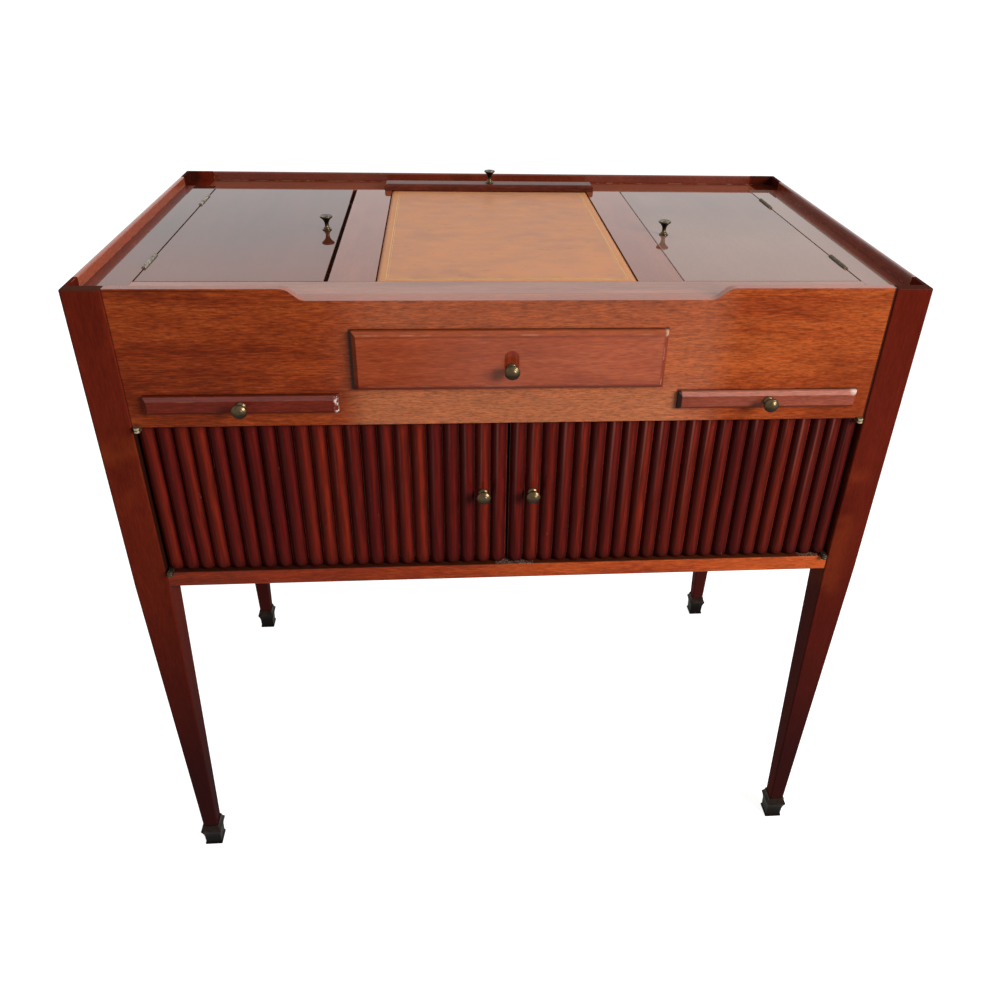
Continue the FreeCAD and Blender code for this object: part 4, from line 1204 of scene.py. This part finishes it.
@dataclass
class WritingTop(Assembly):
    """Framed top with its gallery and the leather panel between the lids."""

    cells_x: int = 72
    cells_y: int = 96
    edge_roll: float = 2.4 * MM
    edge_drop: float = 0.55 * MM
    wave: float = 0.10 * MM
    waves_per_metre: float = 22.0
    line_inset: float = 8.5 * MM
    line_width: float = 0.9 * MM
    line_gap: float = 1.9 * MM
    line_proud: float = 0.05 * MM
    second_line: float = 0.5

    def dress_boards(self) -> None:
        """Gives the framing, the gallery and the hidden board their timber."""
        self.dress(Finishes.lids.material(Grain.DEPTH, 11), "top_end_stiles")
        self.dress(Finishes.framing.material(Grain.DEPTH, 10), "top_middle_stiles")
        self.dress(Finishes.framing.material(Grain.WIDTH, 12), "top_back_rail")
        self.dress(Finishes.front_framing.material(Grain.WIDTH, 16), "top_front_rail")
        self.dress(Finishes.rim.material(Grain.DEPTH, 13), "gallery")
        self.dress(Finishes.oak.material(Grain.DEPTH, 4), "writing_board")
        self.dress(Finishes.hinge.material(), "lid_hinge_plates")

    def build_leather(self) -> Piece:
        """Lays the leather: a thin skin whose edges roll down and whose face is not quite flat.

        Returns:
            The skin.
        """
        low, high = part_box("writing_leather")
        shape = bmesh.new()
        last_x, last_y = self.cells_x, self.cells_y
        columns = [low.x + (high.x - low.x) * i / last_x for i in range(last_x + 1)]
        rows = [low.y + (high.y - low.y) * j / last_y for j in range(last_y + 1)]
        under = [[shape.verts.new((x, y, low.z)) for y in rows] for x in columns]
        over = [[shape.verts.new((x, y, self.skin_height(x, y, low, high))) for y in rows] for x in columns]
        for sheet in (under, over):
            for i in range(last_x):
                for j in range(last_y):
                    shape.faces.new((sheet[i][j], sheet[i + 1][j], sheet[i + 1][j + 1], sheet[i][j + 1]))
        loop = [(i, 0) for i in range(last_x)] + [(last_x, j) for j in range(last_y)]
        loop += [(i, last_y) for i in range(last_x, 0, -1)] + [(0, j) for j in range(last_y, 0, -1)]
        for (i, j), (k, m) in zip(loop, loop[1:] + loop[:1]):
            shape.faces.new((under[i][j], under[k][m], over[k][m], over[i][j]))
        piece = new_piece("leather_skin", shape, Finishes.leather.material())
        self.fix(piece, "table", "leather", "writing_leather")
        return piece

    def skin_height(self, x: float, y: float, low: Vector, high: Vector) -> float:
        """Height of the leather's face at a place.

        Args:
            x: The place across.
            y: The place front to back.
            low: The skin's lowest corner.
            high: The skin's highest corner.

        Returns:
            The height in metres.
        """
        border = min(x - low.x, high.x - x, y - low.y, high.y - y)
        rolled = max(0.0, 1.0 - border / self.edge_roll)
        ripple = noise.noise(Vector((x * self.waves_per_metre, y * self.waves_per_metre, 3.1))) - 1.0
        return high.z - self.edge_drop * rolled ** 2 + self.wave * 0.5 * ripple

    def build_tooling(self) -> Piece:
        """Runs the double gilt line round the leather.

        Returns:
            The gilt lines.
        """
        low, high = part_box("writing_leather")
        recipe = GeometryRecipe("tooled_line")
        width, depth = recipe.sizes("Float", "Panel Width", "Panel Depth")
        inset, gap, thick, proud = recipe.sizes("Float", "Line Inset", "Line Gap", "Line Width", "Line Proud")
        [centre] = recipe.sizes("Vector", "Centre")
        rectangle = "GeometryNodeCurvePrimitiveQuadrilateral"
        lines = []
        for number in (0, 1):
            drop = recipe.times(recipe.plus(inset, recipe.times(gap, number)), 2.0)
            inner_width, inner_depth = recipe.minus(width, drop), recipe.minus(depth, drop)
            path = recipe.out(rectangle, {"Width": inner_width, "Height": inner_depth})
            stroke = recipe.times(thick, self.second_line ** number)
            section = recipe.out(rectangle, {"Width": stroke, "Height": proud})
            upright = recipe.out("GeometryNodeSetCurveNormal", {"Curve": path}, mode="Z_UP")
            lines.append(recipe.out("GeometryNodeCurveToMesh", {"Curve": upright, "Profile Curve": section}))
        recipe.close(recipe.moved(recipe.joined(*lines), Translation=centre), Finishes.gold.material())
        piece = recipe.make("leather_tooling", {
            "Panel Width": high.x - low.x, "Panel Depth": high.y - low.y, "Line Inset": self.line_inset,
            "Line Gap": self.line_gap, "Line Width": self.line_width, "Line Proud": self.line_proud,
            "Centre": ((low.x + high.x) / 2, (low.y + high.y) / 2, high.z)})
        return self.fix(piece, "table", "leather")


@dataclass
class ScrewRow:
    """Slotted countersunk screws in a row, flush in a hinge leaf."""

    count: int = 3
    spacing: float = 15.0 * MM
    radius: float = 2.0 * MM
    proud: float = 0.06 * MM
    slot: float = 0.5 * MM
    arc_steps: int = 12

    def __post_init__(self) -> None:
        """Writes the recipe for a row of screws."""
        recipe = GeometryRecipe("hinge_screws")
        count, seed = recipe.sizes("Int", "Count", "Turn Seed")
        spacing, radius, proud, slot = recipe.sizes("Float", "Spacing", "Head Radius", "Head Proud", "Slot")
        start, facing = recipe.sizes("Vector", "Start", "Facing")
        arc = recipe.out("GeometryNodeCurveArc", {
            "Resolution": self.arc_steps, "Radius": radius, "Start Angle": 0.0, "Sweep Angle": math.pi})
        half = recipe.out("GeometryNodeSetSplineCyclic", {"Geometry": arc, "Cyclic": True})
        aside = recipe.vector(y=recipe.times(slot, 0.5))
        shifted = recipe.moved(recipe.thickened(half, proud), Translation=aside)
        head = recipe.joined(*(recipe.moved(shifted, Rotation=(0.0, 0.0, turn)) for turn in (0.0, math.pi)))
        line = recipe.row(count, (0.0, 0.0, 0.0), recipe.vector(y=spacing))
        turned = recipe.vector(z=recipe.chance(math.pi, seed))
        heads = recipe.out("GeometryNodeInstanceOnPoints", {"Points": line, "Instance": head})
        slotted = recipe.out("GeometryNodeRotateInstances", {"Instances": heads, "Rotation": turned})
        faced = recipe.out("GeometryNodeRotateInstances", {
            "Instances": slotted, "Rotation": facing, "Local Space": False})
        recipe.close(recipe.moved(faced, Translation=start), Finishes.hinge.material())
        self.recipe = recipe

    def make(self, name: str, start: Vector, towards: int, seed: int) -> Piece:
        """Sets the screws of one leaf.

        Args:
            name: The row's name.
            start: The first screw's place.
            towards: Sign of the x that the heads face.
            seed: A number for the slots' turns.

        Returns:
            The screws.
        """
        return self.recipe.make(name, {
            "Count": self.count, "Spacing": self.spacing, "Head Radius": self.radius,
            "Head Proud": self.proud, "Slot": self.slot, "Start": tuple(start),
            "Facing": (0.0, towards * math.pi / 2, 0.0), "Turn Seed": seed})


@dataclass
class Lid(Assembly):
    """One hinged lid with its knob, leaves and screws."""

    side: Side
    screws: ScrewRow
    screw_drop: float = 6.8 * MM
    leaf_face: float = 0.1 * MM
    screw_inset: float = 7.0 * MM

    def build(self) -> None:
        """Dresses the lid and sets its knob and screws."""
        name, body = self.side.value, f"{self.side.value}_lid"
        timber = Finishes.lids if self.side is Side.LEFT else Finishes.right_lid
        self.dress(timber.material(Grain.DEPTH, 14 + self.side.sign), f"{name}_lid_board")
        self.dress(Finishes.hinge.material(), f"{name}_lid_hinge_leaves")
        Knob(f"{name}_lid_knob", body, upright=True).build()
        low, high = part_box(f"{name}_lid_hinge_leaves")
        axis = (low.x + high.x) / 2
        length = 2 * self.screw_inset + (self.screws.count - 1) * self.screws.spacing
        for number, start_y in enumerate((low.y, high.y - length)):
            for leaf, owner in ((1, "table"), (-1, body)):
                x = axis + self.side.sign * leaf * self.leaf_face
                start = Vector((x, start_y + self.screw_inset, high.z - self.screw_drop))
                label = f"{name}_lid_screws_{number}_{owner}"
                row = self.screws.make(label, start, -self.side.sign * leaf, 5 + number)
                self.fix(row, owner, "brass")


@dataclass
class ReedBank:
    """Half-round beads side by side on a door, each with its own tone."""

    vertices: int = 28
    segments: int = 14
    end_width: float = 0.88
    least_scale: Triple = (0.97, 0.94, 1.0)
    full_scale: Triple = (1.0, 1.0, 1.0)
    tone_offset: float = 11.0

    def __post_init__(self) -> None:
        """Writes the recipe for a bank of beads."""
        recipe = GeometryRecipe("reed_bank")
        count, seed = recipe.sizes("Int", "Count", "Tone Seed")
        pitch, width, height = recipe.sizes("Float", "Pitch", "Reed Width", "Reed Height")
        length, dome = recipe.sizes("Float", "Reed Length", "End Dome")
        [start] = recipe.sizes("Vector", "Start")
        bead = self.bead(recipe, width, height, length, dome)
        line = recipe.row(count, start, recipe.vector(pitch))
        limits = {0: self.least_scale, 1: self.full_scale, "Seed": seed}
        spread = recipe.out("FunctionNodeRandomValue", limits, data_type="FLOAT_VECTOR")
        placed = {"Points": line, "Instance": bead, "Scale": spread}
        beads = recipe.out("GeometryNodeInstanceOnPoints", placed)
        tone = recipe.chance(1.0, recipe.plus(seed, self.tone_offset))
        values = {"Geometry": beads, "Name": "reed_tone", "Value": tone}
        toned = recipe.out("GeometryNodeStoreNamedAttribute", values, data_type="FLOAT", domain="INSTANCE")
        recipe.close(toned, Finishes.reeds.material())
        self.recipe = recipe

    def bead(
            self, recipe: GeometryRecipe, width: Socket, height: Socket, length: Socket,
            dome: Socket) -> Socket:
        """Bends a cylinder into one bead with a flat back and drawn-in ends.

        Args:
            recipe: The tree that it goes into.
            width: The bead's width.
            height: How far it stands out.
            length: Its length.
            dome: How long each drawn-in end is.

        Returns:
            The bead's geometry.
        """
        post = recipe.out("GeometryNodeMeshCylinder", {
            "Vertices": self.vertices, "Side Segments": self.segments, "Radius": 1.0, "Depth": 1.0})
        place = recipe.out("GeometryNodeInputPosition")
        point = recipe.add("ShaderNodeSeparateXYZ", {0: place}).outputs
        share = recipe.plus(point[2], 0.5)
        eased = recipe.minus(3.0, recipe.times(share, 2.0))
        eased = recipe.times(eased, recipe.times(share, share))
        rise = recipe.times(eased, length)
        to_end = recipe.maths("MINIMUM", rise, recipe.minus(length, rise))
        swell = recipe.maths("POWER", recipe.maths("DIVIDE", to_end, dome, clamp=True), 0.5)
        swell = recipe.plus(recipe.times(swell, 1.0 - self.end_width), self.end_width)
        half = recipe.times(recipe.times(point[0], width), recipe.times(swell, 0.5))
        crown = recipe.times(recipe.maths("MINIMUM", point[1], 0.0), recipe.times(height, swell))
        bent = recipe.vector(half, crown, rise)
        return recipe.out("GeometryNodeSetPosition", {"Geometry": post, "Position": bent})


@dataclass
class ReededDoor(Assembly):
    """One door of the cupboard: its board, beads, corner pivots and knob."""

    side: Side
    bank: ReedBank
    count: int = 22
    gap: float = 0.4 * MM
    end_inset: float = 0.3 * MM
    end_dome: float = 3.0 * MM

    def build(self) -> None:
        """Dresses the board and leaves, lays the beads and sets the knob."""
        name, body = self.side.value, f"{self.side.value}_door"
        self.dress(Finishes.panels.material(Grain.HEIGHT, 20 + self.side.sign), f"{name}_door_board")
        self.dress(Finishes.pivot.material(), f"{name}_door_hinge_leaves")
        low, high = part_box(f"{name}_door_reeds")
        pitch = (high.x - low.x + self.gap) / self.count
        width = pitch - self.gap
        beads = self.bank.recipe.make(f"{name}_door_reeding", {
            "Count": self.count, "Pitch": pitch, "Reed Width": width, "Reed Height": high.y - low.y,
            "Reed Length": high.z - low.z - 2 * self.end_inset, "End Dome": self.end_dome,
            "Start": (low.x + width / 2, high.y, low.z + self.end_inset), "Tone Seed": 3 + self.side.sign})
        self.fix(beads, body, "reeded_mahogany", f"{name}_door_reeds")
        Knob(f"{name}_door_knob", body).build()


@dataclass
class Drawer(Assembly):
    """The middle drawer."""

    def build(self) -> None:
        """Dresses the drawer and sets its knob."""
        self.dress(Finishes.fronts.material(Grain.WIDTH, 23), "drawer_front")
        self.dress(Finishes.patch.material(Grain.HEIGHT, 24), "drawer_lock_patch")
        self.dress(Finishes.oak.material(Grain.DEPTH, 25), "drawer_sides")
        self.dress(Finishes.oak.material(Grain.WIDTH, 26), "drawer_back", "drawer_bottom")
        Knob("drawer_knob", "drawer").build()


@dataclass
class CandleSlide(Assembly):
    """One pull-out slide under the top."""

    side: Side

    def build(self) -> None:
        """Dresses the slide and sets its knob."""
        name = self.side.value
        timber = Finishes.left_slide if self.side is Side.LEFT else Finishes.right_slide
        self.dress(timber.material(Grain.WIDTH, 27 + self.side.sign), f"{name}_slide_front")
        self.dress(Finishes.panels.material(Grain.DEPTH, 30), f"{name}_slide_board")
        Knob(f"{name}_slide_knob", f"{name}_slide").build()


@dataclass
class RisingMirror(Assembly):
    """The mirror that rises behind the leather panel."""

    def build(self) -> None:
        """Dresses the mirror and sets its knob."""
        self.dress(Finishes.cap.material(Grain.WIDTH, 31), "mirror_cap")
        self.dress(Finishes.panels.material(Grain.HEIGHT, 32), "mirror_frame")
        self.dress(Finishes.mirror.material(), "mirror_glass")
        self.dress(Finishes.oak.material(Grain.HEIGHT, 33), "mirror_backboard")
        Knob("mirror_knob", "mirror", upright=True).build()


@dataclass(frozen=True)
class Lamp:
    """One soft lamp: place, aim, size in metres, watts, tint and whether the polish mirrors it."""

    name: str
    place: Triple
    aim: Triple
    size: Span
    power: float
    tint: Triple
    mirrored: bool = False

    def hang(self) -> None:
        """Puts the lamp into the scene."""
        lamp = bpy.data.lights.new(self.name, "AREA")
        lamp.shape, lamp.energy, lamp.color = "RECTANGLE", self.power, self.tint
        lamp.size, lamp.size_y = self.size
        holder = bpy.data.objects.new(self.name, lamp)
        holder.location = self.place
        holder.rotation_euler = (Vector(self.aim) - Vector(self.place)).to_track_quat("-Z", "Y").to_euler()
        holder.visible_camera = False
        holder.visible_glossy = self.mirrored
        bpy.context.scene.collection.objects.link(holder)


@dataclass
class Studio:
    """Pale floor, soft lamps, white surroundings and the camera."""

    eye: Triple = (-0.0620, -1.0011, 1.0364)
    pitch: float = -32.17
    yaw: float = 5.32
    roll: float = 1.70
    focal_pixels: float = 880.0
    principal: Span = (518.0, 496.0)
    sensor: float = 36.0
    far_clip: float = 200.0
    floor_reach: float = 60.0
    floor_bounce: Triple = (0.36, 0.35, 0.34)
    floor_shade: Triple = (0.42, 0.42, 0.42)
    floor_glow: Span = (0.86, 1.0)
    glow_reach: Span = (1.0, 4.0)
    ambient: float = 0.16
    ambient_tint: Triple = (1.0, 0.985, 0.96)
    lamps: tuple[Lamp, ...] = (
        Lamp("key", (1.65, -1.5, 1.45), (0.0, 0.0, 0.6), (0.9, 0.9), 78.0, (1.0, 0.97, 0.92), True),
        Lamp("fill", (-1.7, -1.5, 0.8), (0.0, 0.0, 0.6), (1.4, 1.4), 6.0, (0.97, 0.98, 1.0)),
        Lamp("strip", (-0.5, -0.95, 0.10), (0.2, -0.2, 0.6), (0.02, 0.3), 0.25, (0.96, 0.98, 1.0), True),
        Lamp("overhead", (0.1, 0.2, 2.7), (0.0, 0.0, 0.0), (2.2, 2.2), 22.0, (1.0, 0.99, 0.97)),
        Lamp("behind", (-1.6, 1.9, 1.7), (0.0, 0.0, 0.6), (1.6, 1.6), 26.0, (1.0, 0.98, 0.95)))

    def seen_or_lighting(self, sheet: TreeWriter, lighting: Socket, seen: Socket) -> Socket:
        """Mixes two shaders: one for rays that light the table, one for camera, glossy and transmission rays.

        Args:
            sheet: The tree that they are in.
            lighting: The shader that lights.
            seen: The shader that is seen or mirrored.

        Returns:
            The mixed shader.
        """
        path = sheet.add("ShaderNodeLightPath").outputs
        share = sheet.most(path["Is Camera Ray"], path["Is Glossy Ray"])
        share = sheet.most(share, path["Is Transmission Ray"])
        return sheet.out("ShaderNodeMixShader", {0: share, 1: lighting, 2: seen})

    def build_world(self) -> None:
        """Makes white surroundings that light the table gently."""
        world = bpy.data.worlds.new("studio")
        world.use_nodes = True
        sheet = TreeWriter(world.node_tree)
        sheet.tree.nodes.clear()
        dim = sheet.out("ShaderNodeBackground", {"Color": self.ambient_tint, "Strength": self.ambient})
        white = sheet.out("ShaderNodeBackground", {"Color": WHITE, "Strength": 1.0})
        sheet.add("ShaderNodeOutputWorld", {"Surface": self.seen_or_lighting(sheet, dim, white)})
        bpy.context.scene.world = world

    def build_floor(self) -> Piece:
        """Lays the floor, which shows white and keeps a soft shadow.

        Returns:
            The floor.
        """
        sheet = ShaderSheet("studio_floor")
        bounce = sheet.out("ShaderNodeBsdfDiffuse", {"Color": self.floor_bounce})
        shade = sheet.out("ShaderNodeBsdfDiffuse", {"Color": self.floor_shade})
        away = sheet.add("ShaderNodeVectorMath", {0: sheet.place}, operation="LENGTH").outputs["Value"]
        bright = sheet.between(away, *self.glow_reach, *self.floor_glow)
        glow = sheet.out("ShaderNodeEmission", {"Color": WHITE, "Strength": bright})
        shown = sheet.out("ShaderNodeAddShader", {0: shade, 1: glow})
        sheet.add("ShaderNodeOutputMaterial", {"Surface": self.seen_or_lighting(sheet, bounce, shown)})
        shape = bmesh.new()
        reach = self.floor_reach
        corners = ((-reach, -reach), (reach, -reach), (reach, reach), (-reach, reach))
        shape.faces.new([shape.verts.new((x, y, 0.0)) for x, y in corners])
        floor = new_piece("studio_floor", shape, sheet.material)
        return floor

    def build_camera(self) -> None:
        """Sets the camera where the photographer stood."""
        pitch, yaw, roll = (math.radians(angle) for angle in (self.pitch, self.yaw, self.roll))
        ahead = Vector((math.sin(yaw) * math.cos(pitch), math.cos(yaw) * math.cos(pitch), math.sin(pitch)))
        level = Vector((math.cos(yaw), -math.sin(yaw), 0.0))
        above = level.cross(ahead)
        right = math.cos(roll) * level + math.sin(roll) * above
        up = -math.sin(roll) * level + math.cos(roll) * above
        data = bpy.data.cameras.new("photo_camera")
        data.sensor_fit, data.sensor_width = "HORIZONTAL", self.sensor
        data.lens = self.focal_pixels * self.sensor / PHOTO_WIDTH
        data.shift_x = -(self.principal[0] - PHOTO_WIDTH / 2) / PHOTO_WIDTH
        data.shift_y = (self.principal[1] - PHOTO_HEIGHT / 2) / PHOTO_WIDTH
        data.clip_end = self.far_clip
        camera = bpy.data.objects.new("photo_camera", data)
        turn = Matrix((right, up, -ahead)).transposed().to_4x4()
        camera.matrix_world = Matrix.Translation(self.eye) @ turn
        bpy.context.scene.collection.objects.link(camera)
        bpy.context.scene.camera = camera

    def build(self) -> None:
        """Sets up the whole studio."""
        self.build_world()
        self.build_floor()
        for lamp in self.lamps:
            lamp.hang()
        self.build_camera()
        bpy.context.scene.view_settings.view_transform = "Standard"
        LOG.info("built the studio")


def main() -> None:
    """Builds and dresses the table, piece by piece."""
    logging.basicConfig(level=logging.INFO, format="%(name)s: %(message)s")
    carcase = Carcase()
    carcase.dress_case()
    carcase.build_shoes()
    top = WritingTop()
    top.dress_boards()
    top.build_leather()
    top.build_tooling()
    screws, bank = ScrewRow(), ReedBank()
    for side in Side:
        Lid(side, screws).build()
        ReededDoor(side, bank).build()
        CandleSlide(side).build()
    Drawer().build()
    RisingMirror().build()
    Studio().build()


if __name__ == "__main__":
    main()
